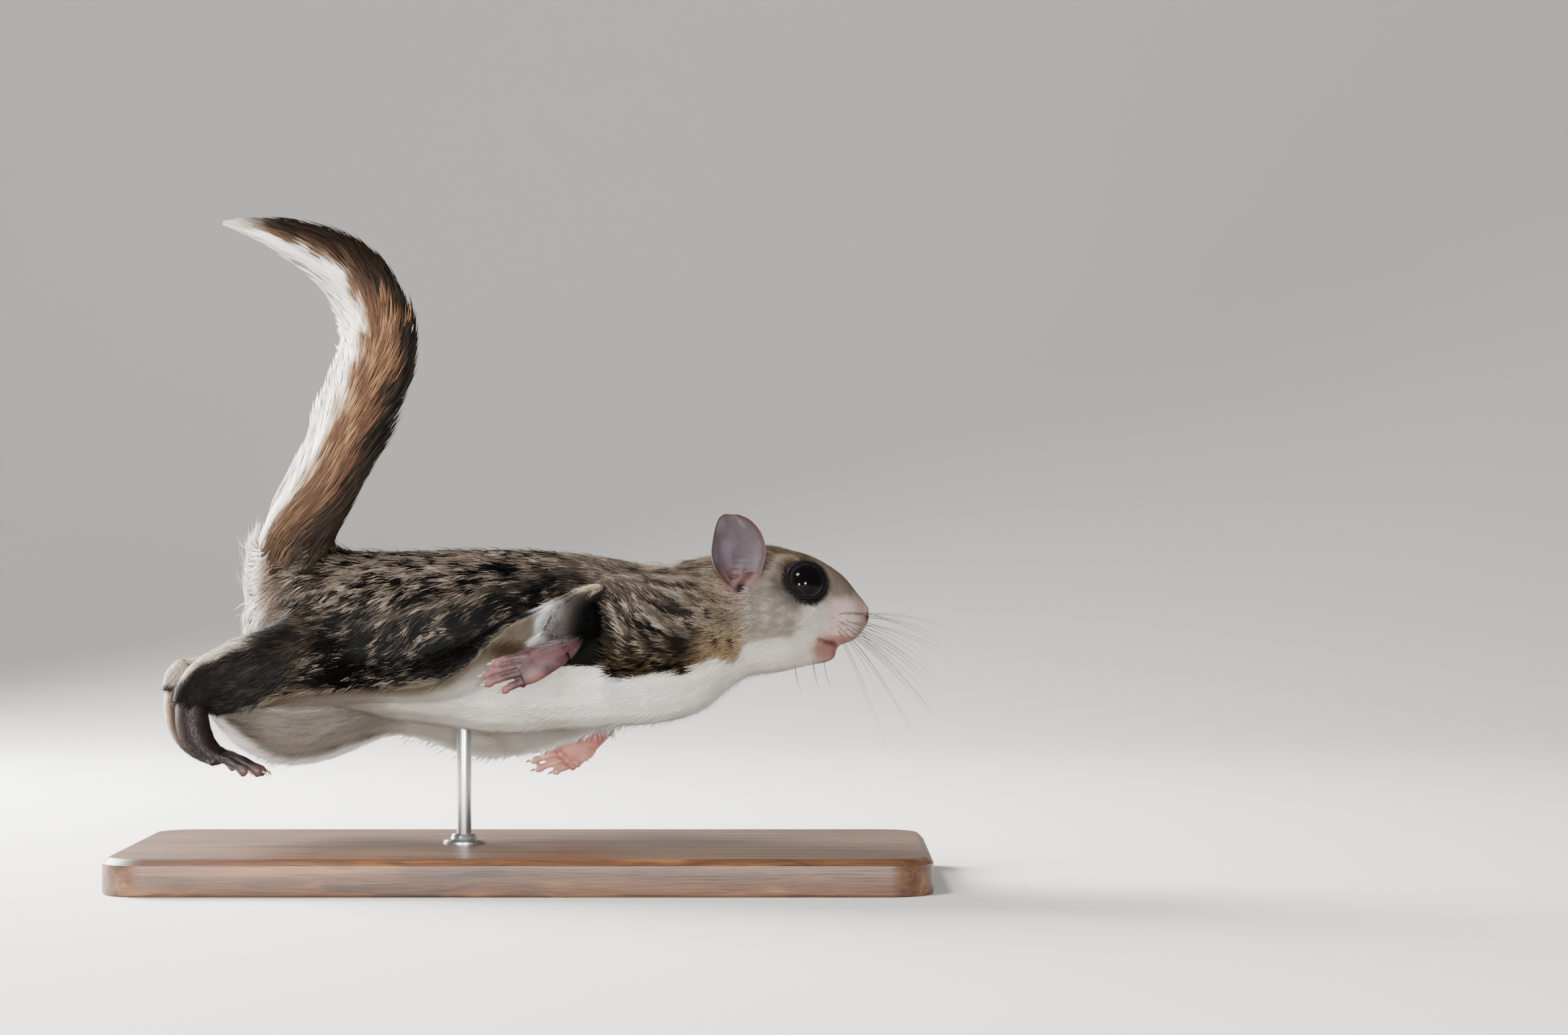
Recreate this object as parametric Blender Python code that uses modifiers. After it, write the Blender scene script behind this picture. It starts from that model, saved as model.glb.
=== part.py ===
"""Southern flying squirrel, life size, mid leap, on a plain display stand.

Sizes are in millimetres until a mesh is made. +X runs to the head, +Z up, and the
origin is the centre of the base's underside. The body is modelled whole as lofts,
melted into one surface and parted by thin cuts where a person would name parts.
"""

import math
from dataclasses import dataclass

import bmesh
import bpy
import numpy as np
from mathutils import Vector
from mathutils.bvhtree import BVHTree

MM = 0.001
FINISHED, WORKING = "flying_squirrel", "working_shapes"  # the two collections

# Driving sizes
BASE_LENGTH, BASE_DEPTH, BASE_HEIGHT = 176.0, 86.0, 8.0
BASE_CORNER, BASE_EDGE = 10.0, 1.2
ROD_RADIUS, ROD_SIDES, ROD_X, ROD_Y = 1.6, 24, -14.0, 0.0
ROD_LIFT = 0.05  # between the rod's foot and the base
TAIL_ROOT_Z = 74.6  # the tail leaves the rump at this height
TAIL_CORE, ROOT_CORE = 0.58, 0.97  # the tail's core as a share of its outline, and at its root
LOCK_RINGS, LOCKS_ROUND = 11, 8
LOCK_ROWS = 5.8  # length of a lock in rows of the tail
LOCK_WIDTH, LOCK_THICK = 6.0, 1.8
CUT_ROWS, CUT_SWELL = (15.0, 26.0), 0.22  # rows where the tail is parted, and the core's swell
LOCK_SWAY = 0.08  # random turn round the tail, in radians
GAP = 0.3  # between neighbouring parts
BANK = math.radians(15)  # the body rolls this far, belly to the side it is seen from
HEAD_BANK = math.radians(7)
VOXEL, SMOOTHING = 0.62, 9  # size of the remesh that melts the masses, and passes after it
BODY_TRIANGLES = 4380
SKIN_HALF = 1.15  # half thickness of the gliding skin near its margin
SKIN_STEPS = (0.0, 0.12, 0.3, 0.55, 0.8, 1.0)  # from the margin inward
EYE_RADIUS = 5.0
EAR_HEIGHT, EAR_WALL, EAR_CUP, EAR_SPREAD, EAR_COLUMNS = 16.2, 0.9, 3.4, 1.06, 9
EAR_ROOT = (46.9, 10.2, 63.6)  # on the head: x, distance off its mid plane, z
# Height along the ear, then how far its back and front edges stand from its root
EAR_OUTLINE = (
    (-1.2, -0.4, 2.6), (0.4, -1.6, 3.4), (2.2, -3.9, 4.3), (4.4, -5.4, 5.0), (7.4, -6.2, 5.6),
    (10.4, -5.7, 5.2), (13.0, -4.9, 3.7), (15.0, -4.2, 1.6), (EAR_HEIGHT, -2.9, -0.9),
)
EYE_PLACE = (60.7, 7.6, 64.2)  # on the head, as for the ear's root
NOSTRIL_PLACE, NOSTRIL_RADIUS = (75.1, 1.35, 58.0), 0.62
HEAD_MIDDLE = np.array([61.0, 0.4, 59.5])  # a point on the head's mid plane
UPRIGHT = np.array([0.0, 0.0, 1.0])

# Fur colours and the naked parts: base colour, roughness
COLOURS = {
    "grey_brown_fur": ((0.20, 0.145, 0.10), 0.9),
    "tail_fur": ((0.34, 0.23, 0.15), 0.9),
    "bare_skin": ((0.55, 0.33, 0.28), 0.6),
    "black_eye": ((0.006, 0.005, 0.006), 0.05),
    "stand_wood": ((0.24, 0.13, 0.07), 0.45),
    "stand_steel": ((0.60, 0.60, 0.62), 0.3),
}


def clear_scene():
    for obj in list(bpy.data.objects):
        bpy.data.objects.remove(obj, do_unlink=True)


def new_collection(name, shown=True):
    made = bpy.data.collections.new(name)
    bpy.context.scene.collection.children.link(made)
    made.hide_render = not shown
    return made


def put_in(obj, collection_name):
    for owner in list(obj.users_collection):
        owner.objects.unlink(obj)
    bpy.data.collections[collection_name].objects.link(obj)


def material(name):
    colour, roughness = COLOURS[name]
    made = bpy.data.materials.new(name)
    made.use_nodes = True
    shader = made.node_tree.nodes["Principled BSDF"]
    shader.inputs["Base Color"].default_value = (*colour, 1)
    shader.inputs["Roughness"].default_value = roughness
    shader.inputs["Metallic"].default_value = 1.0 if name == "stand_steel" else 0.0
    made.diffuse_color = (*colour, 1)
    return made


@dataclass(frozen=True)
class Joint:
    """Where a paw meets its limb, and the paw's own shape beyond that plane."""

    owner: str
    paw: str
    point: tuple
    normal: tuple
    reach: float  # half size of the box that trims the limb's end
    palm: tuple  # rows of x, y, z, half width, half height
    hint: tuple  # the direction that the half heights are nearest to
    roots: tuple
    tips: tuple
    radius: float
    bow: tuple
    claw: float  # length


JOINTS = (
    Joint("foreleg_right", "forepaw_right", (9.0, -34.6, 51.2), (-0.86, -0.3, -0.42), 5.0,
          ((12.0, -33.0, 52.6, 2.6, 3.0), (8.4, -34.8, 51.0, 2.2, 3.0),
           (5.4, -36.0, 49.6, 2.0, 3.5), (2.4, -36.8, 48.2, 1.8, 3.9), (0.4, -37.2, 47.4, 1.4, 3.6)),
          (0, 0.4, 1),
          ((0.8, -37.0, 50.2), (0.0, -37.5, 48.3), (0.0, -37.5, 46.6), (1.4, -37.2, 44.9),
           (6.2, -36.6, 47.4)),
          ((-5.4, -37.6, 48.7), (-7.4, -38.2, 46.2), (-6.9, -38.2, 44.3), (-3.3, -37.9, 42.9),
           (4.4, -37.0, 45.6)),
          0.95, (0, -0.55, 0.25), 1.7),
    Joint("foreleg_left", "forepaw_left", (14.8, 33.6, 31.8), (-0.66, 0.25, -0.70), 5.0,
          ((17.6, 32.4, 34.6, 2.6, 2.8), (14.4, 34.0, 31.4, 2.1, 2.9),
           (11.2, 35.2, 28.8, 1.9, 3.3), (8.4, 35.9, 26.6, 1.7, 3.8), (6.6, 36.1, 25.2, 1.4, 3.6)),
          (0, -0.2, 1),
          ((4.7, 36.1, 27.1), (5.6, 36.3, 25.6), (6.9, 36.3, 24.3), (8.2, 36.1, 23.0),
           (12.6, 35.6, 26.8)),
          ((0.4, 36.4, 26.0), (-1.8, 36.7, 23.8), (-0.7, 36.7, 21.8), (3.3, 36.5, 21.2),
           (11.6, 36.0, 24.6)),
          0.95, (0, 0.55, 0.25), 1.7),
    Joint("hindleg_right", "hindfoot_right", (-71.6, -15.0, 39.0), (-0.1, 0, -1), 4.8,
          ((-71.0, -15.0, 42.4, 3.9, 4.0), (-71.9, -15.0, 38.6, 3.8, 3.7),
           (-71.4, -15.0, 34.6, 3.8, 3.5), (-69.9, -15.1, 31.0, 4.0, 3.2),
           (-67.6, -15.3, 28.8, 4.3, 2.5), (-65.4, -15.5, 27.8, 4.2, 2.0)),
          (1, 0, 0.6),
          ((-66.6, -12.2, 28.2), (-65.8, -13.8, 28.2), (-65.6, -15.5, 28.2), (-65.8, -17.1, 28.2),
           (-66.8, -18.7, 28.0)),
          ((-58.4, -10.4, 24.6), (-56.4, -12.9, 24.4), (-55.6, -15.6, 24.4), (-56.2, -18.2, 24.4),
           (-59.0, -20.6, 24.6)),
          1.1, (0.1, 0, 0.75), 1.9),
    Joint("hindleg_left", "hindfoot_left", (-77.4, 7.0, 40.6), (-0.1, 0, -1), 4.8,
          ((-76.6, 7.0, 44.2, 3.8, 3.9), (-77.7, 7.0, 40.2, 3.7, 3.6),
           (-77.2, 7.0, 35.8, 3.7, 3.5), (-75.6, 7.0, 31.6, 4.0, 3.2),
           (-73.2, 7.2, 28.6, 4.3, 2.5), (-70.8, 7.4, 27.4, 4.2, 2.0)),
          (1, 0, 0.6),
          ((-72.0, 10.7, 27.6), (-71.2, 9.1, 27.8), (-71.0, 7.4, 27.8), (-71.2, 5.8, 27.8),
           (-72.2, 4.2, 27.6)),
          ((-63.8, 12.6, 24.4), (-61.8, 10.1, 24.2), (-61.0, 7.4, 24.2), (-61.6, 4.8, 24.2),
           (-64.4, 2.4, 24.4)),
          1.1, (0.1, 0, 0.75), 1.9),
)


# Where the whole body is parted: new part, what it leaves, a point on the plane, and the
# plane's normal as forward, right and up of the banked body
CUTS = (
    ("head", "torso", (43.5, 0, 62.0), (0.96, 0, 0.28)),
    ("neck", "torso", (37.5, 0, 62.0), (0.985, 0, 0.17)),
    ("chest", "torso", (3.0, 0, 50.0), (1, 0, 0)),
    ("rump", "torso", (-36.5, 0, 50.0), (-1, 0, 0)),
    ("foreleg_right", "chest", (0, -14.0, 57.8), (0, 1, 0)),
    ("foreleg_left", "chest", (0, 14.0, 50.2), (0, -1, 0)),
    ("patagium_right", "torso", (0, -18.4, 56.9), (0, 1, 0)),
    ("patagium_left", "torso", (0, 18.4, 47.1), (0, -1, 0)),
    ("hindleg_right", "rump", (-36.5, -11.5, 50.0), (-0.21, 0.978, 0)),
    ("hindleg_left", "rump", (-36.5, 10.5, 45.0), (-0.28, -0.96, 0)),
)


# The tail's two cuts: new part, what it leaves, a point on the plane and its normal
TAIL_CUTS = (
    ("tail_mid", "tail_base", (-36.2, 0, 106.5), (0.36, 0, 0.93)),
    ("tail_tip", "tail_mid", (-38.6, 0, 132.2), (-0.66, 0, 0.75)),
)


# Shapes

def banked(direction):
    """World direction of forward, right and up as the banked body has them."""
    forward, right, up = direction
    return np.array([
        forward,
        -right * math.cos(BANK) + up * math.sin(BANK),
        right * math.sin(BANK) + up * math.cos(BANK),
    ])


def unit(v):
    v = np.asarray(v, float)
    return v / np.linalg.norm(v)


def spline(rows, per):
    """Rows of numbers eased through by a Catmull-Rom curve, with `per` steps between two rows."""
    rows = np.asarray(rows, float)
    padded = np.vstack([2 * rows[0] - rows[1], rows, 2 * rows[-1] - rows[-2]])
    out = []
    for i in range(1, len(padded) - 2):
        a, b, c, d = padded[i - 1 : i + 3]
        for t in np.arange(per) / per:
            out.append(
                0.5 * (2 * b + (c - a) * t + (2 * a - 5 * b + 4 * c - d) * t**2
                       + (3 * b - a - 3 * c + d) * t**3)
            )
    out.append(rows[-1])
    return np.array(out)


def mesh_object(name, points, faces):
    mesh = bpy.data.meshes.new(name)
    mesh.from_pydata([tuple(p) for p in np.asarray(points) * MM], [], faces)
    work = bmesh.new()
    work.from_mesh(mesh)
    bmesh.ops.recalc_face_normals(work, faces=work.faces)
    work.to_mesh(mesh)
    work.free()
    obj = bpy.data.objects.new(name, mesh)
    bpy.data.collections[WORKING].objects.link(obj)
    return obj


def loft(name, rings):
    """Closed mesh through rings of equal point counts, each end closed by a fan."""
    count = len(rings[0])
    points = [p for ring in rings for p in ring]
    faces = []
    for r in range(len(rings) - 1):
        a, b = r * count, (r + 1) * count
        faces += [(a + i, a + (i + 1) % count, b + (i + 1) % count, b + i) for i in range(count)]
    for first in (0, (len(rings) - 1) * count):
        middle = len(points)
        points.append(np.mean(points[first : first + count], axis=0))
        faces += [(first + i, first + (i + 1) % count, middle) for i in range(count)]
    return mesh_object(name, points, faces)


def section(centre, side, up, wide, above, below, count=24):
    """Oval ring, `wide` to each side of its centre and `above` and `below` it."""
    ring = []
    for k in range(count):
        angle = 2 * math.pi * k / count
        tall = above if math.sin(angle) > 0 else below
        ring.append(centre + side * wide * math.cos(angle) + up * tall * math.sin(angle))
    return ring


def trunk(name, rows):
    """Loft along X. Each row is x, y, z, half width, above, below, bank in degrees."""
    rings = []
    for x, y, z, wide, above, below, bank in spline(rows, 3):
        bank = math.radians(bank)
        side = np.array([0, -math.cos(bank), math.sin(bank)])
        up = np.array([0, math.sin(bank), math.cos(bank)])
        rings.append(section(np.array([x, y, z]), side, up, wide, above, below))
    return loft(name, rings)


def tube(name, rows, hint, per=3, count=14):
    """Loft along a bent path. Each row is x, y, z, half width, half height; up is nearest to hint."""
    rows = spline(rows, per)
    rings = []
    for i, (x, y, z, wide, tall) in enumerate(rows):
        before, after = rows[max(i - 1, 0)][:3], rows[min(i + 1, len(rows) - 1)][:3]
        along = unit(after - before)
        side = unit(np.cross(along, hint))
        rings.append(
            section(np.array([x, y, z]), side, np.cross(side, along), wide, tall, tall, count)
        )
    return loft(name, rings)


def membrane(name, rows):
    """Gliding skin as a wedge from inside the trunk to its free margin.

    Each row is the inner point, the margin point, and the half thickness at the inner end.
    """
    rings = []
    for row in spline(rows, 3):
        inner, margin, thick = row[:3], row[3:6], row[6]
        out = margin - inner
        normal = unit(np.cross([1.0, 0, 0], out))
        half = [SKIN_HALF + (thick - SKIN_HALF) * s**0.85 for s in SKIN_STEPS]
        upper = [margin - out * s + normal * h for s, h in zip(SKIN_STEPS, half)]
        lower = [margin - out * s - normal * h for s, h in zip(SKIN_STEPS, half)]
        rim = margin + unit(out) * 0.9
        rings.append(upper[::-1] + [rim] + lower)
    return loft(name, rings)


# Booleans and joins

def select_only(obj):
    for other in bpy.context.selected_objects:
        other.select_set(False)
    obj.select_set(True)
    bpy.context.view_layer.objects.active = obj


def apply_modifier(obj, modifier):
    select_only(obj)
    bpy.ops.object.modifier_apply(modifier=modifier.name)


def boolean(obj, other, operation, solver="EXACT"):
    modifier = obj.modifiers.new(operation.title(), "BOOLEAN")
    modifier.operation, modifier.solver, modifier.object = operation, solver, other
    apply_modifier(obj, modifier)
    bpy.data.objects.remove(other, do_unlink=True)


def keep_largest(obj):
    """Crumbs off a union or a cut go; the largest closed surface stays."""
    work = bmesh.new()
    work.from_mesh(obj.data)
    left, islands = set(work.verts), []
    while left:
        seed = left.pop()
        island, edge = {seed}, [seed]
        while edge:
            for e in edge.pop().link_edges:
                for v in e.verts:
                    if v in left:
                        left.discard(v)
                        island.add(v)
                        edge.append(v)
        islands.append(island)
    islands.sort(key=len)
    for island in islands[:-1]:
        bmesh.ops.delete(work, geom=list(island), context="VERTS")
    bmesh.ops.triangulate(work, faces=work.faces)
    work.to_mesh(obj.data)
    work.free()


def united(name, pieces, solver="EXACT"):
    """One closed mesh from overlapping closed pieces."""
    first, rest = pieces[0], pieces[1:]
    joined = new_collection(name + "_pieces", shown=False)
    for piece in rest:
        put_in(piece, joined.name)
    modifier = first.modifiers.new("Union", "BOOLEAN")
    modifier.operation, modifier.solver = "UNION", solver
    modifier.operand_type, modifier.collection = "COLLECTION", joined
    apply_modifier(first, modifier)
    for piece in rest:
        bpy.data.objects.remove(piece, do_unlink=True)
    bpy.data.collections.remove(joined)
    first.name = name
    keep_largest(first)
    return first


def coarseness(x):
    """How far the mesh may be thinned at a place along the body: least on the face and feet."""
    if x > 52:
        return 0.08
    return 0.5 if x < -62 else 1.0


def thin_out(obj, target, group=""):
    modifier = obj.modifiers.new("Decimate", "DECIMATE")
    modifier.ratio = min(1.0, target / len(obj.data.polygons))
    modifier.vertex_group = group
    apply_modifier(obj, modifier)


def melted(name, masses):
    """Overlapping masses become one soft surface."""
    select_only(masses[0])
    for mass in masses:
        mass.select_set(True)
    bpy.ops.object.join()
    obj = bpy.context.view_layer.objects.active
    obj.name = name
    remesh = obj.modifiers.new("Remesh", "REMESH")
    remesh.mode, remesh.voxel_size = "VOXEL", VOXEL * MM
    apply_modifier(obj, remesh)
    smooth = obj.modifiers.new("Smooth", "SMOOTH")
    smooth.factor, smooth.iterations = 0.5, SMOOTHING
    apply_modifier(obj, smooth)
    keep_largest(obj)
    thin_out(obj, 2.2 * BODY_TRIANGLES)
    coarse = obj.vertex_groups.new(name="coarse")
    for vertex in obj.data.vertices:
        coarse.add([vertex.index], coarseness(vertex.co.x / MM), "REPLACE")
    thin_out(obj, BODY_TRIANGLES, coarse.name)
    obj.vertex_groups.clear()
    keep_largest(obj)
    return obj


def half_space(point, normal, size=260.0):
    """A big box whose one face lies on the plane, on the side that the normal points to."""
    normal = Vector(unit(normal))
    bpy.ops.mesh.primitive_cube_add(size=size * MM)
    box = bpy.context.active_object
    box.matrix_world = normal.to_track_quat("Z", "Y").to_matrix().to_4x4()
    box.location = Vector(point) * MM + normal * (size / 2 * MM)
    put_in(box, WORKING)
    bpy.context.view_layer.update()
    return box


def part_off(body, name, point, normal):
    """Cuts off what lies beyond the plane as a new part, leaving a thin gap."""
    normal = unit(normal)
    beyond = body.copy()
    beyond.data = body.data.copy()
    bpy.data.collections[WORKING].objects.link(beyond)
    beyond.name = name
    boolean(beyond, half_space(point + normal * GAP / 2, normal), "INTERSECT")
    boolean(body, half_space(point - normal * GAP / 2, normal), "DIFFERENCE")
    keep_largest(beyond)
    keep_largest(body)
    return beyond


# The animal

def body_lofts():
    """Every mass of flesh and short coat, from nose to ankles."""
    pieces = [
        trunk("torso_mass", [
            (-61.0, 1.5, 57.0, 6, 6, 6, 8),
            (-56.0, 1.5, 56.5, 13, 12.0, 12, 10),
            (-49.0, 1.0, 55.6, 17.5, 15.8, 16, 12),
            (-41.0, 0.5, 55.6, 19.5, 16.8, 18, 14),
            (-30.0, 0.0, 55.2, 20.5, 16.7, 20, 15),
            (-18.0, 0.0, 54.8, 21.0, 17.6, 21.5, 15),
            (-6.0, 0.0, 54.6, 21.0, 17.8, 23, 15),
            (6.0, 0.0, 54.6, 20.0, 17.6, 22.3, 15),
            (18.0, 0.0, 54.2, 18.5, 16.5, 21, 15),
            (28.0, 0.0, 53.6, 17.0, 15.6, 19.8, 14),
            (38.0, 0.0, 54.4, 15.2, 16.6, 18, 12),
            (45.0, 0.2, 56.6, 13.8, 16.2, 14.4, 10),
            (51.0, 0.4, 58.6, 12.0, 14.5, 12.5, 8),
        ]),
        trunk("skull_mass", [
            (42.0, 0.3, 58.5, 10.0, 12.5, 11.5, 7),
            (47.0, 0.3, 59.0, 12.6, 14.4, 14.2, 7),
            (52.5, 0.3, 59.2, 12.9, 14.7, 14.2, 7),
            (57.6, 0.3, 59.2, 12.3, 13.6, 13.4, 7),
            (62.5, 0.3, 59.4, 10.6, 11.9, 11.2, 7),
            (66.5, 0.3, 58.9, 8.3, 10.2, 8.2, 7),
            (69.6, 0.3, 58.2, 6.6, 8.6, 6.4, 7),
            (72.2, 0.3, 57.6, 5.0, 5.9, 4.8, 7),
            (74.0, 0.3, 57.9, 3.1, 3.5, 3.0, 7),
            (75.3, 0.3, 58.3, 1.5, 1.8, 1.8, 7),
        ]),
        trunk("jaw_mass", [
            (52.0, 0.5, 52.5, 9.0, 5.0, 6.8, 7),
            (57.0, 0.5, 51.8, 8.2, 4.0, 6.0, 7),
            (62.0, 0.4, 51.2, 6.0, 3.4, 4.2, 7),
            (65.8, 0.4, 50.2, 3.8, 2.0, 2.6, 7),
            (67.8, 0.4, 49.9, 2.0, 1.2, 1.4, 7),
        ]),
    ]
    for turn in (-1, 1):  # whisker pads, either side of the nose
        pieces.append(trunk("pad_mass", [
            (66.0, 0.3 + turn * 3.0, 55.0, 3.4, 3.4, 3.0, 7),
            (69.0, 0.3 + turn * 2.9, 54.6, 3.3, 3.4, 2.8, 7),
            (71.8, 0.3 + turn * 2.2, 54.8, 2.5, 2.8, 2.2, 7),
            (73.4, 0.3 + turn * 1.5, 55.4, 1.4, 1.6, 1.2, 7),
        ]))
    pieces.append(loft("tail_root_mass", tail_sections(tail_rows(), lambda i: 1.0, 20)[:10]))
    pieces += near_forelimb() + far_forelimb() + hind_limbs()
    pieces += [near_skin(), far_skin()]
    return pieces


def near_forelimb():
    """Right shoulder mass, whose rear edge stands over a hollow, then the forearm and its fold."""
    return [
        trunk("shoulder_mass_right", [
            (50.0, -4.0, 56.0, 5.0, 8.0, 6.0, 12),
            (44.0, -7.0, 55.4, 8.0, 10.5, 8.0, 12),
            (38.0, -9.5, 54.8, 9.8, 12.0, 9.4, 12),
            (31.0, -12.0, 55.0, 11.2, 12.4, 9.8, 12),
            (24.0, -14.5, 55.6, 11.6, 12.2, 10.2, 12),
            (19.5, -15.8, 56.2, 10.8, 11.4, 9.8, 12),
            (17.6, -15.5, 56.2, 8.6, 9.6, 8.2, 12),
        ]),
        tube("forearm_mass_right", [
            (19.5, -15.0, 62.0, 5.5, 5.0),
            (15.5, -21.5, 60.2, 5.0, 5.2),
            (12.5, -28.0, 56.0, 4.2, 4.6),
            (9.6, -34.0, 51.6, 3.0, 3.4),
            (7.4, -35.4, 50.4, 2.2, 3.0),
        ], (0, 0.4, 1.0)),
        membrane("fold_mass_right", [
            (17.5, -16.0, 60.0, 18.6, -25.5, 65.4, 2.6),
            (14.5, -21.0, 58.5, 13.8, -30.0, 64.0, 2.2),
            (12.0, -25.0, 55.5, 8.4, -34.6, 61.0, 2.0),
            (11.0, -28.0, 53.0, 5.8, -36.6, 57.4, 1.8),
            (10.0, -30.0, 51.5, 4.2, -37.2, 53.6, 1.7),
        ]),
    ]


def far_forelimb():
    """Left shoulder, the arm swept back and down beyond the belly's edge, and the palm."""
    return [
        trunk("shoulder_mass_left", [
            (49.0, 5.0, 54.0, 5.0, 7.0, 6.0, 12),
            (44.0, 7.5, 53.0, 7.5, 9.0, 7.6, 13),
            (38.0, 10.5, 51.6, 9.0, 11.0, 9.0, 15),
            (30.0, 14.0, 50.5, 10.5, 11.4, 9.4, 15),
            (23.0, 16.0, 50.2, 10.6, 11.2, 9.6, 15),
            (18.0, 16.5, 50.0, 8.6, 9.6, 8.2, 15),
        ]),
        tube("forearm_mass_left", [
            (20.0, 17.0, 52.0, 5.5, 5.0),
            (19.2, 23.0, 45.0, 5.0, 5.0),
            (17.9, 29.0, 38.0, 4.2, 4.4),
            (15.6, 33.2, 32.6, 3.0, 3.2),
            (13.8, 34.3, 30.8, 2.2, 2.8),
        ], (0, -0.2, 1.0)),
    ]


def hind_limbs():
    """Both legs stretched back to the heels, which stand upright over the balls of the feet."""
    return [
        tube("thigh_mass_right", [
            (-26.0, -3.0, 53.0, 8.0, 10.0),
            (-35.0, -7.0, 53.0, 10.0, 12.5),
            (-44.0, -12.8, 50.4, 9.8, 11.6),
            (-52.0, -17.2, 47.8, 8.0, 9.2),
            (-60.0, -17.8, 46.0, 5.8, 7.6),
            (-66.5, -16.0, 44.2, 4.8, 6.6),
            (-71.0, -15.2, 42.0, 4.2, 5.2),
        ], (0, 0, 1)),
        tube("heel_mass_right", [
            (-69.6, -15.2, 44.4, 3.6, 4.0),
            (-71.7, -15.0, 40.8, 3.7, 4.2),
            (-71.8, -15.0, 36.6, 3.6, 3.6),
        ], (1, 0, 0.6)),
        tube("thigh_mass_left", [
            (-28.0, 4.0, 50.0, 8.0, 10.0),
            (-36.0, 9.0, 47.0, 10.0, 12.0),
            (-44.0, 14.5, 42.0, 10.0, 11.0),
            (-53.0, 19.0, 36.6, 8.0, 8.6),
            (-62.0, 16.0, 38.0, 6.0, 7.4),
            (-70.5, 10.5, 42.5, 5.0, 6.4),
            (-75.5, 7.6, 44.8, 4.2, 4.8),
        ], (0, 0, 1)),
        tube("heel_mass_left", [
            (-74.4, 7.2, 46.6, 3.4, 3.8),
            (-77.6, 7.0, 42.8, 3.6, 4.2),
            (-77.7, 7.0, 38.0, 3.5, 3.5),
        ], (1, 0, 0.6)),
    ]


def near_skin():
    """Right gliding membrane, slack: high at the wrist, low along the flank, in at the ankle."""
    return membrane("skin_mass_right", [
        (20.0, -10.0, 58.0, 18.6, -24.5, 66.0, 4.0),
        (13.0, -10.0, 54.0, 12.0, -28.5, 64.2, 6.0),
        (6.0, -9.0, 51.0, 6.0, -31.0, 61.0, 8.0),
        (-1.2, -8.0, 49.0, -1.2, -31.5, 57.3, 9.0),
        (-7.5, -8.0, 48.0, -7.5, -31.5, 51.8, 10.0),
        (-13.5, -8.0, 48.0, -13.5, -30.0, 46.6, 10.5),
        (-21.0, -8.0, 48.0, -20.8, -27.5, 43.8, 10.5),
        (-30.0, -8.0, 48.0, -29.4, -25.6, 43.2, 10.0),
        (-38.0, -8.0, 47.0, -37.7, -27.0, 43.4, 9.0),
        (-46.0, -8.0, 46.0, -46.0, -28.0, 42.6, 8.0),
        (-54.0, -8.0, 45.0, -54.1, -26.0, 40.2, 6.5),
        (-61.5, -10.0, 44.0, -62.0, -20.6, 38.2, 4.5),
        (-66.0, -12.0, 43.0, -66.6, -16.6, 37.2, 3.0),
    ])


def far_skin():
    """Left gliding membrane, whose margin hangs below the belly."""
    return membrane("skin_mass_left", [
        (19.0, 10.0, 47.0, 17.6, 31.0, 34.0, 4.0),
        (12.0, 10.0, 45.0, 11.0, 29.8, 30.2, 6.0),
        (3.0, 9.0, 44.0, 2.0, 30.2, 27.2, 8.0),
        (-8.5, 8.0, 43.0, -8.5, 29.8, 25.4, 9.0),
        (-16.0, 8.0, 43.0, -16.1, 28.5, 26.4, 9.5),
        (-23.5, 8.0, 44.0, -23.5, 26.0, 29.4, 9.5),
        (-31.0, 8.0, 45.0, -31.1, 24.0, 31.0, 9.5),
        (-37.0, 8.0, 44.0, -36.9, 25.0, 29.2, 9.5),
        (-45.8, 8.0, 43.0, -45.8, 28.0, 25.2, 8.5),
        (-54.0, 8.0, 42.0, -54.2, 28.5, 23.8, 7.5),
        (-61.0, 8.0, 43.0, -60.5, 25.5, 24.6, 6.0),
        (-68.0, 8.0, 44.0, -67.5, 18.5, 29.0, 4.0),
        (-72.0, 8.0, 45.0, -71.7, 13.0, 35.2, 2.8),
    ])


def head_frame():
    """Sideways (to the right cheek) and upward directions of the rolled head."""
    side = np.array([0, -math.cos(HEAD_BANK), math.sin(HEAD_BANK)])
    up = np.array([0, math.sin(HEAD_BANK), math.cos(HEAD_BANK)])
    return side, up


def on_head(x, lateral, height):
    """World point from a place on the head: x, distance right of its mid plane, and z there."""
    side, up = head_frame()
    _, middle_y, middle_z = HEAD_MIDDLE
    return np.array([x, middle_y, middle_z]) + side * lateral + up * (height - middle_z)


def ball(name, centre, radius, segments=20, rings=12):
    bpy.ops.mesh.primitive_uv_sphere_add(
        segments=segments, ring_count=rings, radius=radius * MM, location=Vector(centre) * MM
    )
    obj = bpy.context.active_object
    obj.name = name
    bpy.ops.object.transform_apply(location=True, rotation=True, scale=True)
    put_in(obj, WORKING)
    return obj


def eye_centre(turn):
    x, lateral, height = EYE_PLACE
    return on_head(x, turn * lateral, height)


def lid_mass(turn):
    """A low ring round the eye that the socket is then cut from."""
    out = unit(on_head(1.2, turn * 6.0, HEAD_MIDDLE[2] + 1.2) - on_head(0, 0, HEAD_MIDDLE[2]))
    centre = eye_centre(turn)
    across = unit(np.cross(out, [0, 0, 1.0]))
    up = np.cross(across, out)
    rings = [
        section(centre + out * along, across, up, radius, radius, radius, 22)
        for along, radius in ((-2.0, 6.0), (0.4, 5.9), (1.6, 5.4), (2.2, 4.9))
    ]
    return loft("lid_mass", rings)


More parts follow.
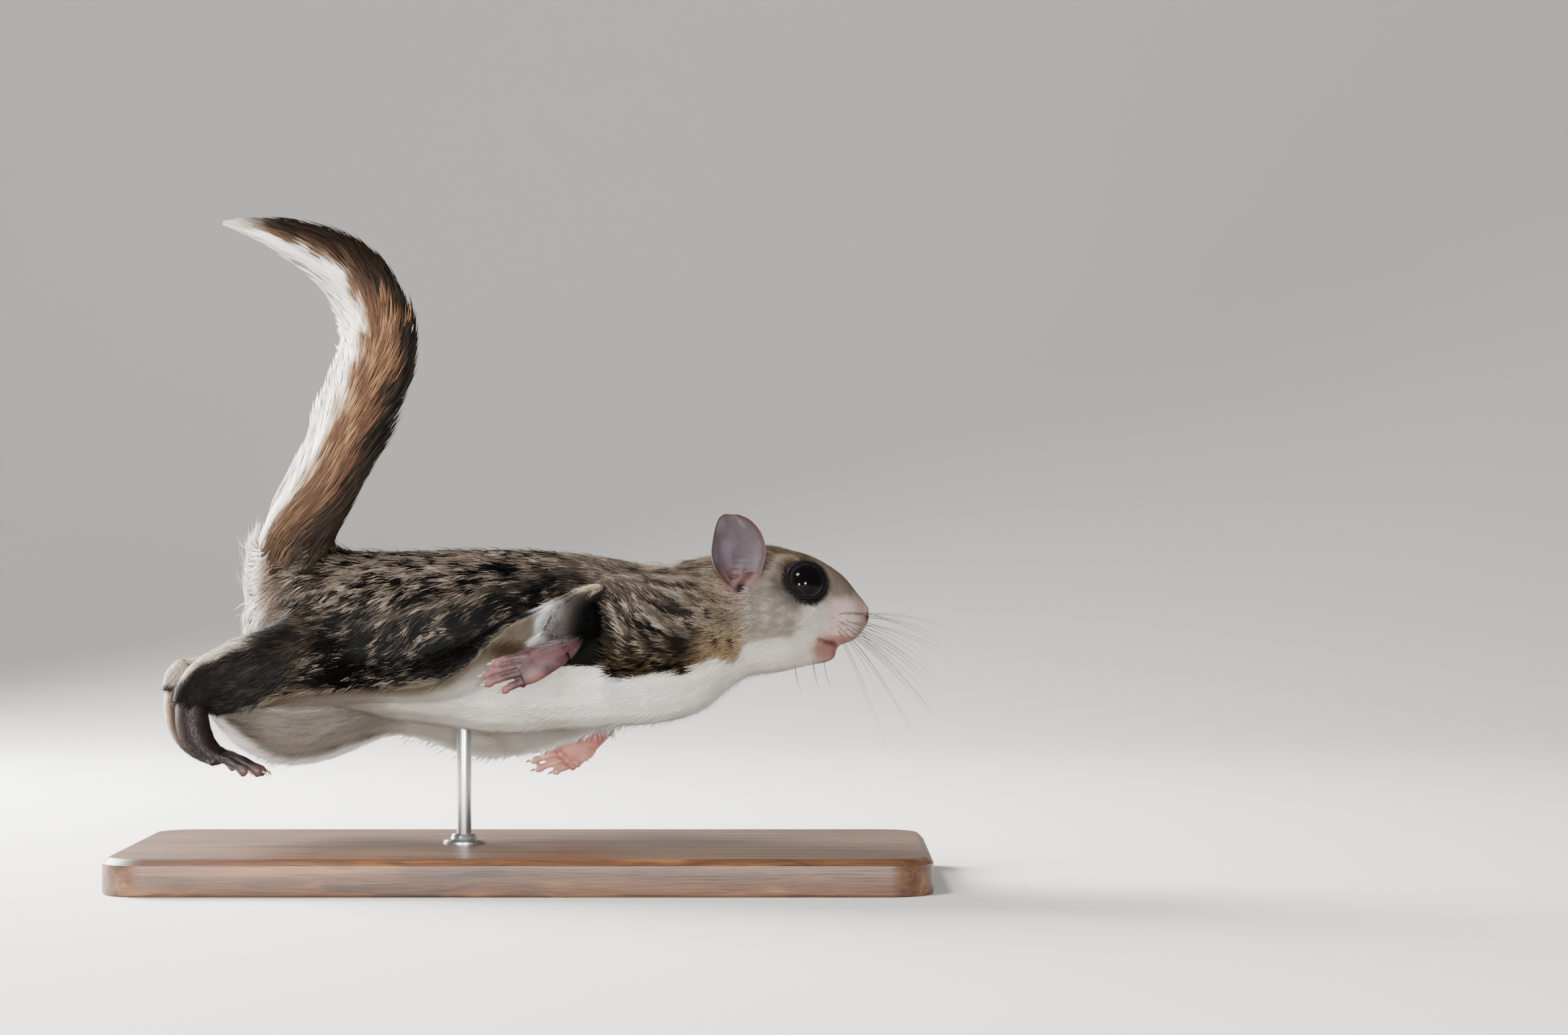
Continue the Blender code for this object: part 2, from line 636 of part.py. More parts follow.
def ear(name, turn, wall=EAR_WALL, deeper=0.0):
    """Thin cup, open to the side and front; a cutter for its slot is thicker and goes deeper."""
    side, up = head_frame()
    side = side * turn
    rise = unit(up + side * 0.14)
    across = unit(np.array([1.0, 0, 0]) - side * 0.34)
    face = np.cross(rise, across)
    face = face if np.dot(face, side) > 0 else -face
    root = on_head(EAR_ROOT[0], turn * EAR_ROOT[1], EAR_ROOT[2])
    outline = list(EAR_OUTLINE)
    if deeper:
        outline.insert(0, tuple(np.array(outline[0]) - (deeper, 0, 0)))
    columns = np.linspace(-1, 1, EAR_COLUMNS)
    front, back = [], []
    for height, rear_edge, front_edge in outline:
        v = max(0.0, height / EAR_HEIGHT)
        cup = EAR_CUP * (1 - v * 0.75)
        for u in columns:
            place = rear_edge + (front_edge - rear_edge) * (u + 1) / 2
            point = (root + rise * height + across * place * EAR_SPREAD
                     + face * (1.5 + 2.0 * v - cup * (1 - u * u)))
            thin = wall * (1.2 - 0.5 * v) / 2
            front.append(point + face * thin)
            back.append(point - face * thin)
    wide, count, levels = len(columns), len(front), len(outline)
    faces = []
    for r in range(levels - 1):
        for c in range(wide - 1):
            a = r * wide + c
            faces.append((a, a + 1, a + 1 + wide, a + wide))
            faces.append(tuple(count + i for i in (a, a + wide, a + 1 + wide, a + 1)))
    rim = (
        list(range(wide)) + [r * wide + wide - 1 for r in range(1, levels)]
        + [(levels - 1) * wide + c for c in range(wide - 2, -1, -1)]
        + [r * wide for r in range(levels - 2, 0, -1)]
    )
    for a, b in zip(rim, rim[1:] + rim[:1]):
        faces.append((b, a, count + a, count + b))
    return mesh_object(name, front + back, faces)


def digits(joint):
    """Digits from roots to tips, each bowed, with a pad at its end and a hooked claw."""
    made = []
    radius, claw, bow = joint.radius, joint.claw, np.array(joint.bow)
    rise, hint = unit(bow), (0.1, 0.2, 1)
    for k, ends in enumerate(zip(joint.roots, joint.tips)):
        root, tip = np.array(ends)
        along = unit(tip - root)
        rows = [
            (*(root - along * 1.2), radius * 1.1, radius * 1.1),
            (*(root * 0.55 + tip * 0.45 + bow), radius * 0.92, radius * 0.92),
            (*(tip - along * 1.3 + bow * 0.4), radius * 1.12, radius * 1.12),
            (*tip, radius * 0.6, radius * 0.6),
        ]
        made.append(tube(f"{joint.paw}_digit{k}", rows, hint, per=1, count=7))
        hook = [
            (*(tip - along + rise * radius * 0.35), 0.34, 0.50),
            (*(tip + along * claw * 0.5 + rise * radius * 0.45), 0.26, 0.40),
            (*(tip + along * claw * 0.85 - rise * claw * 0.22), 0.08, 0.12),
        ]
        made.append(tube(f"{joint.paw}_claw{k}", hook, hint, per=1, count=5))
    return made


def trim_end(limb, joint):
    """Cuts the limb's end flat at the joint with a small box, which reaches nothing else."""
    normal = unit(joint.normal)
    plane = np.array(joint.point) - normal * GAP / 2
    boolean(limb, half_space(plane, normal, 2 * joint.reach), "DIFFERENCE")
    keep_largest(limb)


def paw(joint):
    """Palm or sole, digits and claws in one, cut flat where it meets its limb."""
    palm = tube(joint.paw + "_palm", joint.palm, joint.hint, per=2, count=12)
    whole = united(joint.paw, [palm] + digits(joint))
    normal = unit(joint.normal)
    plane = np.array(joint.point) + normal * GAP / 2
    boolean(whole, half_space(plane, normal), "INTERSECT")
    keep_largest(whole)
    return whole


def mouth_line():
    """A thin slot between the upper lip and the chin, open at the front and sides."""
    side, up = head_frame()
    reach = 9.0
    rings = []
    for x, z, half in ((63.6, 52.3, 0.12), (65.5, 51.9, 0.35), (67.5, 51.3, 0.42), (72.0, 50.4, 0.55)):
        centre = on_head(x, 0, z)
        rings.append([
            centre + side * reach + up * half, centre - side * reach + up * half,
            centre - side * reach - up * half, centre + side * reach - up * half,
        ])
    return loft("mouth_cut", rings)


def carve_head(head):
    """Eye sockets, the slots that the ears stand in, nostrils and mouth."""
    for turn in (1, -1):
        boolean(head, ball("socket", eye_centre(turn), EYE_RADIUS + GAP), "DIFFERENCE")
        boolean(head, ear("ear_slot", turn, EAR_WALL + 2 * GAP, 1.0), "DIFFERENCE")
        x, lateral, height = NOSTRIL_PLACE
        hole = ball("nostril", on_head(x, turn * lateral, height), NOSTRIL_RADIUS, 10, 6)
        boolean(head, hole, "DIFFERENCE")
    boolean(head, mouth_line(), "DIFFERENCE")
    keep_largest(head)


def tail_rows():
    """Tail axis and the half widths to the tips of its hairs: x, y, z, wide, thick, twist."""
    return spline([
        (-50.0, 0.6, 60.0, 10.0, 10.0, 84),
        (-51.4, 0.6, 68.5, 12.4, 9.6, 78),
        (-50.0, 0.4, 77.0, 12.8, 7.6, 66),
        (-44.8, 0.0, 87.0, 12.6, 6.0, 57),
        (-39.9, 0.0, 97.5, 13.6, 6.2, 57),
        (-36.2, 0.0, 106.5, 14.6, 6.4, 57),
        (-33.4, 0.0, 115.0, 14.0, 6.2, 57),
        (-33.2, 0.0, 121.6, 13.2, 6.0, 56),
        (-35.6, 0.0, 128.2, 11.6, 5.6, 54),
        (-40.2, 0.0, 134.0, 9.4, 5.0, 52),
        (-47.0, 0.0, 138.8, 6.8, 4.0, 50),
        (-56.0, 0.0, 142.2, 3.9, 2.5, 50),
        (-63.0, 0.0, 143.8, 1.8, 1.3, 50),
        (-67.0, 0.0, 144.3, 0.5, 0.4, 50),
    ], 3)


def tail_frames(rows):
    """At each row of the tail: centre, across its flat, through its flat, and along it."""
    frames = []
    for i, (x, y, z, _, _, twist) in enumerate(rows):
        along = unit(rows[min(i + 1, len(rows) - 1)][:3] - rows[max(i - 1, 0)][:3])
        # The flat of the tail lies across the body, turned so that its underside shows.
        angle = math.radians(90 - twist)
        back = unit(np.cross([0, 1.0, 0], along))
        across = np.array([0, -1.0, 0]) * math.cos(angle) + back * math.sin(angle)
        frames.append((np.array([x, y, z]), across, np.cross(across, along), along))
    return frames


def core_share(place):
    """Core of the tail as a share of its outline: most of it at the root and the two cuts."""
    share = TAIL_CORE + (ROOT_CORE - TAIL_CORE) * min(1.0, max(0.0, (9.0 - place) / 3.5))
    return share + sum(CUT_SWELL * math.exp(-((place - row) / 1.2) ** 2) for row in CUT_ROWS)


def tail_sections(rows, share, count):
    """Rings of the tail, each at its share of the outline there."""
    rings = []
    for i, (centre, across, through, _) in enumerate(tail_frames(rows)):
        wide, thick = rows[i][3] * share(i), rows[i][4] * share(i)
        rings.append(section(centre, across, through, wide, thick, thick, count))
    return rings


def tail_point(rows, frames, place, angle, scale):
    """Point at a place along the tail, counted in rows, round it, and out from its axis."""
    low = int(min(max(place, 0), len(rows) - 1.001))
    part = min(place - low, 1.0)
    ends = []
    for i in (low, low + 1):
        centre, across, through, _ = frames[i]
        ends.append(centre + (across * rows[i][3] * math.cos(angle)
                              + through * rows[i][4] * math.sin(angle)) * scale)
    return ends[0] * (1 - part) + ends[1] * part


def lock(name, line, flat, scale):
    """Flat tapered lock of hair along root, middle and tip, bent at its middle."""
    root, middle, tip = line
    along = unit(tip - root)
    flat = unit(flat - along * np.dot(flat, along))
    over = np.cross(along, flat)
    rings = []
    for centre, share in ((root, 0.75), (middle, 1.0)):
        wide = flat * (LOCK_WIDTH / 2 * share * scale)
        thick = over * (LOCK_THICK / 2 * share)
        rings.append([centre + wide, centre + thick, centre - wide, centre - thick])
    points = rings[0] + rings[1] + [tip]
    faces = [(3, 2, 1, 0)] + [(i, (i + 1) % 4, 4 + (i + 1) % 4, 4 + i) for i in range(4)]
    faces += [(4 + i, 4 + (i + 1) % 4, 8) for i in range(4)]
    return mesh_object(name, points, faces)


def bushy_tail():
    """Core of the tail with locks that lie towards its tip and end on its true outline."""
    rows = tail_rows()
    frames = tail_frames(rows)
    last = len(rows) - 1
    pieces = [loft("tail", tail_sections(rows, core_share, 12)[3:-1])]
    rng = np.random.default_rng(7)
    for ring in range(LOCK_RINGS):
        start = 2.6 + (last - 7.6) * ring / (LOCK_RINGS - 1)
        reach = LOCK_ROWS * (1 - 0.25 * ring / LOCK_RINGS)
        breadth = rows[int(start + 2)][3] / rows[:, 3].max()
        around = LOCKS_ROUND if breadth > 0.7 else LOCKS_ROUND - 2
        for k in range(around):
            # Half a step of turn on every second ring, and locks drawn to the two edges
            angle = 2 * math.pi * (k + 0.5 * (ring % 2)) / around
            angle += 0.25 * math.sin(2 * angle) + rng.uniform(-LOCK_SWAY, LOCK_SWAY)
            place = start + rng.uniform(-0.25, 0.25)
            end = min(last, place + reach * rng.uniform(0.9, 1.1))
            half = (place + end) / 2
            root = tail_point(rows, frames, place, angle, core_share(place) * 0.72)
            middle = tail_point(rows, frames, half, angle, max(0.8, core_share(half)))
            tip = tail_point(rows, frames, end, angle + rng.uniform(-LOCK_SWAY, LOCK_SWAY), 1.03)
            flat = (tail_point(rows, frames, place, angle + 0.1, 1)
                    - tail_point(rows, frames, place, angle - 0.1, 1))
            pieces.append(lock(f"lock_{ring}_{k}", (root, middle, tip), flat, breadth**0.7))
    return united("tail_base", pieces, "MANIFOLD")


def rounded_base():
    bpy.ops.mesh.primitive_cube_add(size=1, location=(0, 0, BASE_HEIGHT / 2 * MM))
    base = bpy.context.active_object
    base.name = "stand_base"
    base.scale = (BASE_LENGTH * MM, BASE_DEPTH * MM, BASE_HEIGHT * MM)
    bpy.ops.object.transform_apply(location=True, rotation=True, scale=True)
    work = bmesh.new()
    work.from_mesh(base.data)
    corners = [e for e in work.edges if abs(e.verts[0].co.z - e.verts[1].co.z) > BASE_HEIGHT / 2 * MM]
    bmesh.ops.bevel(work, geom=corners, offset=BASE_CORNER * MM, segments=6, affect="EDGES", profile=0.5)
    top = [e for e in work.edges if min(v.co.z for v in e.verts) > (BASE_HEIGHT - 0.01) * MM
           and e.calc_face_angle(0) > 0.5]
    bmesh.ops.bevel(work, geom=top, offset=BASE_EDGE * MM, segments=2, affect="EDGES", profile=0.5)
    bmesh.ops.triangulate(work, faces=work.faces)
    work.to_mesh(base.data)
    work.free()
    return base


def rod_to(bodies):
    """Upright rod from the base, its top shaped to the belly that it holds."""
    graph = bpy.context.evaluated_depsgraph_get()
    trees = [BVHTree.FromObject(body, graph) for body in bodies]

    def belly(x, y):
        start = Vector((x, y, BASE_HEIGHT + 1)) * MM
        hits = [tree.ray_cast(start, Vector((0, 0, 1)))[0] for tree in trees]
        return min(hit.z for hit in hits if hit) / MM - GAP

    rings = [[], []]
    for k in range(ROD_SIDES):
        angle = 2 * math.pi * k / ROD_SIDES
        x = ROD_X + ROD_RADIUS * math.cos(angle)
        y = ROD_Y + ROD_RADIUS * math.sin(angle)
        rings[0].append(np.array([x, y, BASE_HEIGHT + ROD_LIFT]))
        rings[1].append(np.array([x, y, belly(x, y)]))
    return loft("stand_rod", rings)


def finish(obj, finish_name):
    """Gives a part its own material and moves it out of the working shapes."""
    obj.data.materials.clear()
    obj.data.materials.append(material(finish_name))
    put_in(obj, FINISHED)


def main():
    clear_scene()
    new_collection(FINISHED)
    new_collection(WORKING, shown=False)

    lofts = body_lofts() + [lid_mass(turn) for turn in (1, -1)]
    body = melted("torso", lofts)
    boolean(body, half_space(UPRIGHT * (TAIL_ROOT_Z - GAP / 2), UPRIGHT), "DIFFERENCE")
    keep_largest(body)

    pieces = {"torso": body}
    for name, owner, point, normal in CUTS:
        pieces[name] = part_off(pieces[owner], name, np.array(point), banked(normal))
    for joint in JOINTS:
        trim_end(pieces[joint.owner], joint)
        pieces[joint.paw] = paw(joint)
    carve_head(pieces["head"])

    tail = bushy_tail()
    boolean(tail, half_space(UPRIGHT * (TAIL_ROOT_Z + GAP / 2), UPRIGHT), "INTERSECT")
    keep_largest(tail)
    pieces["tail_base"] = tail
    for name, owner, point, normal in TAIL_CUTS:
        pieces[name] = part_off(pieces[owner], name, np.array(point), normal)

    for name, obj in pieces.items():
        bare, tail_part = "paw" in name or "foot" in name, name.startswith("tail")
        finish(obj, "bare_skin" if bare else "tail_fur" if tail_part else "grey_brown_fur")
    for turn, hand in ((1, "right"), (-1, "left")):
        finish(ball(f"eye_{hand}", eye_centre(turn), EYE_RADIUS, 18, 10), "black_eye")
        finish(ear(f"ear_{hand}", turn), "bare_skin")
    bellies = [pieces[name] for name in ("torso", "patagium_right", "patagium_left")]
    finish(rod_to(bellies), "stand_steel")
    finish(rounded_base(), "stand_wood")


main()
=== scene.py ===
"""Looks of a life-size southern flying squirrel, held in mid leap on a plain display stand.

Sizes are in millimetres until a mesh is made. +X runs to the head, +Z up, and the right
side, which the camera sees, faces -Y. One skin stands for all the flesh, and the coat is
solid tufts that follow its lie. Skin and coat take their colours from the same markings.
"""

import itertools
import logging
import math
from collections.abc import Callable, Sequence
from dataclasses import dataclass, field
from enum import Enum

import bpy
import numpy as np
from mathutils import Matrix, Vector
from mathutils.bvhtree import BVHTree
from mathutils.kdtree import KDTree

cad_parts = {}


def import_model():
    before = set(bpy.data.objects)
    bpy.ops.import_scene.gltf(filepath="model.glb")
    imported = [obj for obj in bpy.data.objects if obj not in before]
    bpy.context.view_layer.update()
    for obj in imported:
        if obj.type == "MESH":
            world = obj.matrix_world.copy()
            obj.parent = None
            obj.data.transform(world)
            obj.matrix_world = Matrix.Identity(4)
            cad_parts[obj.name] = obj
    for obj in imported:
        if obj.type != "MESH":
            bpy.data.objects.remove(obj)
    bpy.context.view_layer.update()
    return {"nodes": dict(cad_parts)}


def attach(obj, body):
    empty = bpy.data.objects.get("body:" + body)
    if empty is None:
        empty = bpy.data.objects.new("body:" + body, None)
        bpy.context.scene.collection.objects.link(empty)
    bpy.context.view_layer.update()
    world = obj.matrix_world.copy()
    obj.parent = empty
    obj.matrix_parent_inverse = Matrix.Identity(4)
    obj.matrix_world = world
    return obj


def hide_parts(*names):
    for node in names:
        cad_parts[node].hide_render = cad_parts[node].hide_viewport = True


Array = np.ndarray
Rng = np.random.Generator
Piece = bpy.types.Object
Node = bpy.types.Node
NodeTree = bpy.types.NodeTree
Place = tuple[float, float, float]
Rows = Sequence[Sequence[float]]

MM = 0.001
BODY = "root"
COAT_COLOUR = "coat_colour"
BAKE_MAP = "OFBake"
TUFT_PATCH = 0.0015  # half size of a tuft's patch on the unwrap
MOST_TRIANGLES = 190_000  # in one piece of coat
SEED = 11
CELL_MIX = (374761393, 668265263, 1442695041)  # odd factors that scatter a cell's number
SEED_MIX, LAST_MIX = 971215073, 1274126177
TUBE_HINT = (0.1, 0.2, 1.0)  # for thin round tubes, off every direction that they run in

# How the body and the head lie: both roll towards the camera, belly first
BODY_BANK, HEAD_BANK = math.radians(15), math.radians(7)
BODY_AXIS_Z = 55.0
HEAD_MIDDLE = np.array([61.0, 0.4, 59.5])
EYE_PLACE = (60.7, 7.6, 64.2)  # on the head: x, distance off its mid plane, height
EYE_RADIUS = 5.0
EAR_ROOT = (46.9, 10.2, 63.6)  # as the eye's
NOSTRIL = (74.9, 1.5, 57.9)  # as the eye's
MOUTH_LINE = ((64.3, 52.5), (65.8, 52.1), (67.9, 51.6))  # x and height
CONCHA = ((46.7, 63.6), (49.0, 66.4))  # x and height of the bare fold at an ear's foot
CONCHA_OUT = 6.0  # nearest that the fold comes to the head's mid plane
NOSE_TIP = (75.2, 0.3, 58.4)

FLESH = (
    "head", "neck", "chest", "torso", "rump", "patagium_left", "patagium_right",
    "foreleg_left", "foreleg_right", "hindleg_left", "hindleg_right",
)

# Free margins of the gliding skin and the line where it leaves the trunk
NEAR_MARGIN = (
    (18.6, -24.5, 66.0), (12.0, -28.5, 64.2), (6.0, -31.0, 61.0), (-1.2, -31.5, 57.3),
    (-7.5, -31.5, 51.8), (-13.5, -30.0, 46.6), (-20.8, -27.5, 43.8), (-29.4, -25.6, 43.2),
    (-37.7, -27.0, 43.4), (-46.0, -28.0, 42.6), (-54.1, -26.0, 40.2), (-62.0, -20.6, 38.2),
    (-66.6, -16.6, 37.2),
)
NEAR_ROOT = (
    (20.0, -10.0, 58.0), (6.0, -9.0, 51.0), (-7.5, -8.0, 48.0), (-30.0, -8.0, 48.0),
    (-46.0, -8.0, 46.0), (-61.5, -10.0, 44.0), (-66.0, -12.0, 43.0),
)
FAR_ROOT = (
    (19.0, 10.0, 47.0), (3.0, 9.0, 44.0), (-16.0, 8.0, 43.0), (-31.0, 8.0, 45.0),
    (-54.0, 8.0, 42.0), (-72.0, 8.0, 45.0),
)
FAR_MARGIN = (
    (17.6, 31.0, 34.0), (11.0, 29.8, 30.2), (2.0, 30.2, 27.2), (-8.5, 29.8, 25.4),
    (-16.1, 28.5, 26.4), (-23.5, 26.0, 29.4), (-31.1, 24.0, 31.0), (-36.9, 25.0, 29.2),
    (-45.8, 28.0, 25.2), (-54.2, 28.5, 23.8), (-60.5, 25.5, 24.6), (-67.5, 18.5, 29.0),
    (-71.7, 13.0, 35.2),
)
# Height of the pale coat's upper edge on the banked body forward of the gliding skin
FRONT_SPLIT = (
    (14.0, -13.0), (36.0, -12.0), (41.0, -8.5), (46.0, -8.0), (48.7, -3.6), (58.0, -2.6),
    (63.0, 0.5), (70.0, 0.0),
)
SPLIT_BLEND = (14.0, 20.0)

# Tail axis and half widths to the tips of its hairs: x, y, z, wide, thick, twist in degrees
TAIL_ROWS = (
    (-50.0, 0.6, 60.0, 10.0, 10.0, 84), (-51.4, 0.6, 68.5, 12.4, 9.6, 78),
    (-50.0, 0.4, 77.0, 12.8, 7.6, 66), (-44.8, 0.0, 87.0, 12.6, 6.0, 57),
    (-39.9, 0.0, 97.5, 13.6, 6.2, 57), (-36.2, 0.0, 106.5, 14.6, 6.4, 57),
    (-33.4, 0.0, 115.0, 14.0, 6.2, 57), (-33.2, 0.0, 121.6, 13.2, 6.0, 56),
    (-35.6, 0.0, 128.2, 11.6, 5.6, 54), (-40.2, 0.0, 134.0, 9.4, 5.0, 52),
    (-47.0, 0.0, 138.8, 6.8, 4.0, 50), (-56.0, 0.0, 142.2, 3.9, 2.5, 50),
    (-63.0, 0.0, 143.8, 1.8, 1.3, 50), (-67.0, 0.0, 144.3, 0.5, 0.4, 50),
)

log = logging.getLogger("flying_squirrel")


class Slot(Enum):
    """Material slots of the record."""

    COAT = "coat"
    TAIL_COAT = "tail_coat"
    BARE_SKIN = "bare_skin"
    EYE = "eye"
    WOOD = "stand_wood"
    STEEL = "stand_steel"


class Side(Enum):
    """Sides of the animal, as the turn of its right-hand shapes."""

    RIGHT = 1
    LEFT = -1

    @property
    def word(self) -> str:
        """Name of the side in lower case."""
        return self.name.lower()


# Colours and numbers


def linear(hex_colour: str) -> tuple[float, float, float]:
    """Turns an sRGB hex value to linear colour.

    Args:
        hex_colour: Colour as "#rrggbb".

    Returns:
        The three channels as linear light.
    """
    channels = [int(hex_colour[i : i + 2], 16) / 255 for i in (1, 3, 5)]
    red, green, blue = (
        c / 12.92 if c <= 0.04045 else ((c + 0.055) / 1.055) ** 2.4 for c in channels
    )
    return red, green, blue


def unit(vectors: Array) -> Array:
    """Scales vectors, along their last axis, to length 1."""
    vectors = np.asarray(vectors, float)
    return vectors / np.maximum(np.linalg.norm(vectors, axis=-1, keepdims=True), 1e-9)


def ramp(values: Array, low: float, high: float) -> Array:
    """Eases from 0 where values are at low to 1 at high; low may be the larger."""
    t = np.clip((np.asarray(values, float) - low) / (high - low), 0, 1)
    return t * t * (3 - 2 * t)


def lattice(cells: Array, seed: int) -> Array:
    """Gives each whole-numbered cell its own random number.

    Args:
        cells: Whole numbers, three to a row.
        seed: Picks one of many fields.

    Returns:
        Numbers from 0 to 1.
    """
    mixed = (cells @ np.array(CELL_MIX) + seed * SEED_MIX) & 0xFFFFFFFF
    mixed = ((mixed ^ (mixed >> 13)) * LAST_MIX) & 0xFFFFFFFF
    return ((mixed ^ (mixed >> 16)) & 0xFFFFFF) / 0xFFFFFF


def noise(points: Array, size: float | Sequence[float], seed: int) -> Array:
    """Smooth random field.

    Args:
        points: Places in mm, three numbers to a row.
        size: Size of its lumps in mm, all round or along each axis.
        seed: Picks one of many fields.

    Returns:
        Numbers from 0 to 1.
    """
    place = points / np.asarray(size, float)
    cell = np.floor(place).astype(np.int64)
    part = place - cell
    part = part * part * (3 - 2 * part)
    total = np.zeros(len(points))
    for corner in itertools.product((0, 1), repeat=3):
        share = np.prod(np.where(np.array(corner, bool), part, 1 - part), axis=1)
        total += share * lattice(cell + np.array(corner), seed)
    return total


def spline(rows: Rows, per: int) -> Array:
    """Eases through rows of numbers by a Catmull-Rom curve.

    Args:
        rows: Rows of equal length.
        per: Steps between two rows.

    Returns:
        The rows with the steps between them.
    """
    table = np.asarray(rows, float)
    padded = np.vstack([2 * table[0] - table[1], table, 2 * table[-1] - table[-2]])
    out = []
    for a, b, c, d in zip(padded, padded[1:], padded[2:], padded[3:]):
        for t in np.arange(per) / per:
            out.append(
                0.5 * (2 * b + (c - a) * t + (2 * a - 5 * b + 4 * c - d) * t**2
                       + (3 * b - a - 3 * c + d) * t**3)
            )
    out.append(table[-1])
    return np.array(out)


def along_line(points: Array, line: Rows) -> Array:
    """Distance of points from a bent line, in as many dimensions as both have.

    Args:
        points: One place to a row.
        line: The line's corners.

    Returns:
        A distance for each point.
    """
    corners = np.asarray(line, float)
    best = np.full(len(points), np.inf)
    for start, end in zip(corners, corners[1:]):
        run = end - start
        t = np.clip((points - start) @ run / (run @ run), 0, 1)
        best = np.minimum(best, np.linalg.norm(points - start - t[:, None] * run, axis=1))
    return best


def distance(points: Array, places: Rows) -> Array:
    """Distance of each point to the nearest of some places, all in mm."""
    return np.min([np.linalg.norm(points - np.array(p), axis=1) for p in places], axis=0)


def head_axes() -> tuple[Array, Array]:
    """Sideways, to the right cheek, and upward directions of the rolled head."""
    side = np.array([0, -math.cos(HEAD_BANK), math.sin(HEAD_BANK)])
    up = np.array([0, math.sin(HEAD_BANK), math.cos(HEAD_BANK)])
    return side, up


def on_head(x: float, lateral: float, height: float) -> Array:
    """World point of a place on the head.

    Args:
        x: World x.
        lateral: Distance to the right of the head's mid plane.
        height: World z that the place has on an upright head.

    Returns:
        The point in mm.
    """
    side, up = head_axes()
    middle = np.array([x, HEAD_MIDDLE[1], HEAD_MIDDLE[2]])
    return middle + side * lateral + up * (height - HEAD_MIDDLE[2])


def head_place(points: Array) -> tuple[Array, Array]:
    """Lateral distance and upright height of world points, the inverse of on_head."""
    side, up = head_axes()
    off = points - HEAD_MIDDLE
    return off @ side, off @ up + HEAD_MIDDLE[2]


def eye_centre(side: Side) -> Array:
    """Centre of one eye."""
    x, lateral, height = EYE_PLACE
    return on_head(x, side.value * lateral, height)


def eye_axis(side: Side) -> Array:
    """Direction that one eye looks in: outward, a little ahead and up."""
    return unit(on_head(1.2, side.value * 6.0, HEAD_MIDDLE[2] + 1.2) - on_head(0, 0, HEAD_MIDDLE[2]))


def from_eye(points: Array, side: Side) -> tuple[Array, Array, Array, Array]:
    """Splits places about an eye by the direction that it looks in.

    Args:
        points: Places in mm.
        side: Which eye.

    Returns:
        Their offset from its centre, the part of it along that direction, the rest of it,
        and the length of that rest.
    """
    off = points - eye_centre(side)
    rise = off @ eye_axis(side)
    across = off - rise[:, None] * eye_axis(side)
    return off, rise, across, np.linalg.norm(across, axis=1)


# Making and finishing meshes


def select_only(*pieces: Piece) -> None:
    """Selects these pieces and nothing else, the first of them active."""
    for obj in bpy.context.selected_objects:
        obj.select_set(False)
    for piece in pieces:
        piece.select_set(True)
    if pieces:
        bpy.context.view_layer.objects.active = pieces[0]


def linked(name: str, data: bpy.types.ID) -> Piece:
    """Makes an object of some data and links it to the scene."""
    obj = bpy.data.objects.new(name, data)
    bpy.context.scene.collection.objects.link(obj)
    return obj


def apply_modifier(obj: Piece, kind: str, **settings: object) -> None:
    """Adds a modifier with its settings and applies it.

    Args:
        obj: Piece that takes it.
        kind: Blender's name of the modifier.
        settings: Its values.
    """
    modifier = obj.modifiers.new(kind.title(), kind)
    for name, value in settings.items():
        setattr(modifier, name, value)
    select_only(obj)
    bpy.ops.object.modifier_apply(modifier=modifier.name)


def edit_all(obj: Piece, *steps: Callable[[], object]) -> None:
    """Runs steps in edit mode, on the whole of a mesh.

    Args:
        obj: The piece.
        steps: Operators, each called with nothing.
    """
    select_only(obj)
    bpy.ops.object.mode_set(mode="EDIT")
    bpy.ops.mesh.select_all(action="SELECT")
    for step in steps:
        step()
    bpy.ops.object.mode_set(mode="OBJECT")


def smooth_shaded(obj: Piece, degrees: float = 180.0) -> None:
    """Shades smooth.

    Args:
        obj: The piece.
        degrees: Edges sharper than this stay sharp.
    """
    select_only(obj)
    if degrees < 180:
        bpy.ops.object.shade_smooth_by_angle(angle=math.radians(degrees))
    else:
        bpy.ops.object.shade_smooth()


def primitive(
    add: Callable[..., object], name: str, centre: Sequence[float], stretch: Place = (1, 1, 1),
    **settings: object,
) -> Piece:
    """Adds a primitive, with its place, turn and size in its mesh.

    Args:
        add: Blender's operator for it.
        name: Name of the piece.
        centre: Its middle in mm.
        stretch: Its scale along each axis.
        settings: The operator's own settings.

    Returns:
        The piece.
    """
    select_only()
    add(location=Vector(centre) * MM, **settings)
    made = bpy.context.active_object
    made.name = name
    made.scale = stretch
    bpy.ops.object.transform_apply(location=True, rotation=True, scale=True)
    return made


def mesh_object(name: str, points: Array, faces: Sequence[Sequence[int]]) -> Piece:
    """Makes a mesh object with its faces outward.

    Args:
        name: Name of the object.
        points: Vertices in mm.
        faces: Vertex numbers of each face.

    Returns:
        The object, linked to the scene.
    """
    mesh = bpy.data.meshes.new(name)
    mesh.from_pydata([tuple(p) for p in np.asarray(points) * MM], [], faces)
    obj = linked(name, mesh)
    edit_all(obj, bpy.ops.mesh.normals_make_consistent)
    return obj


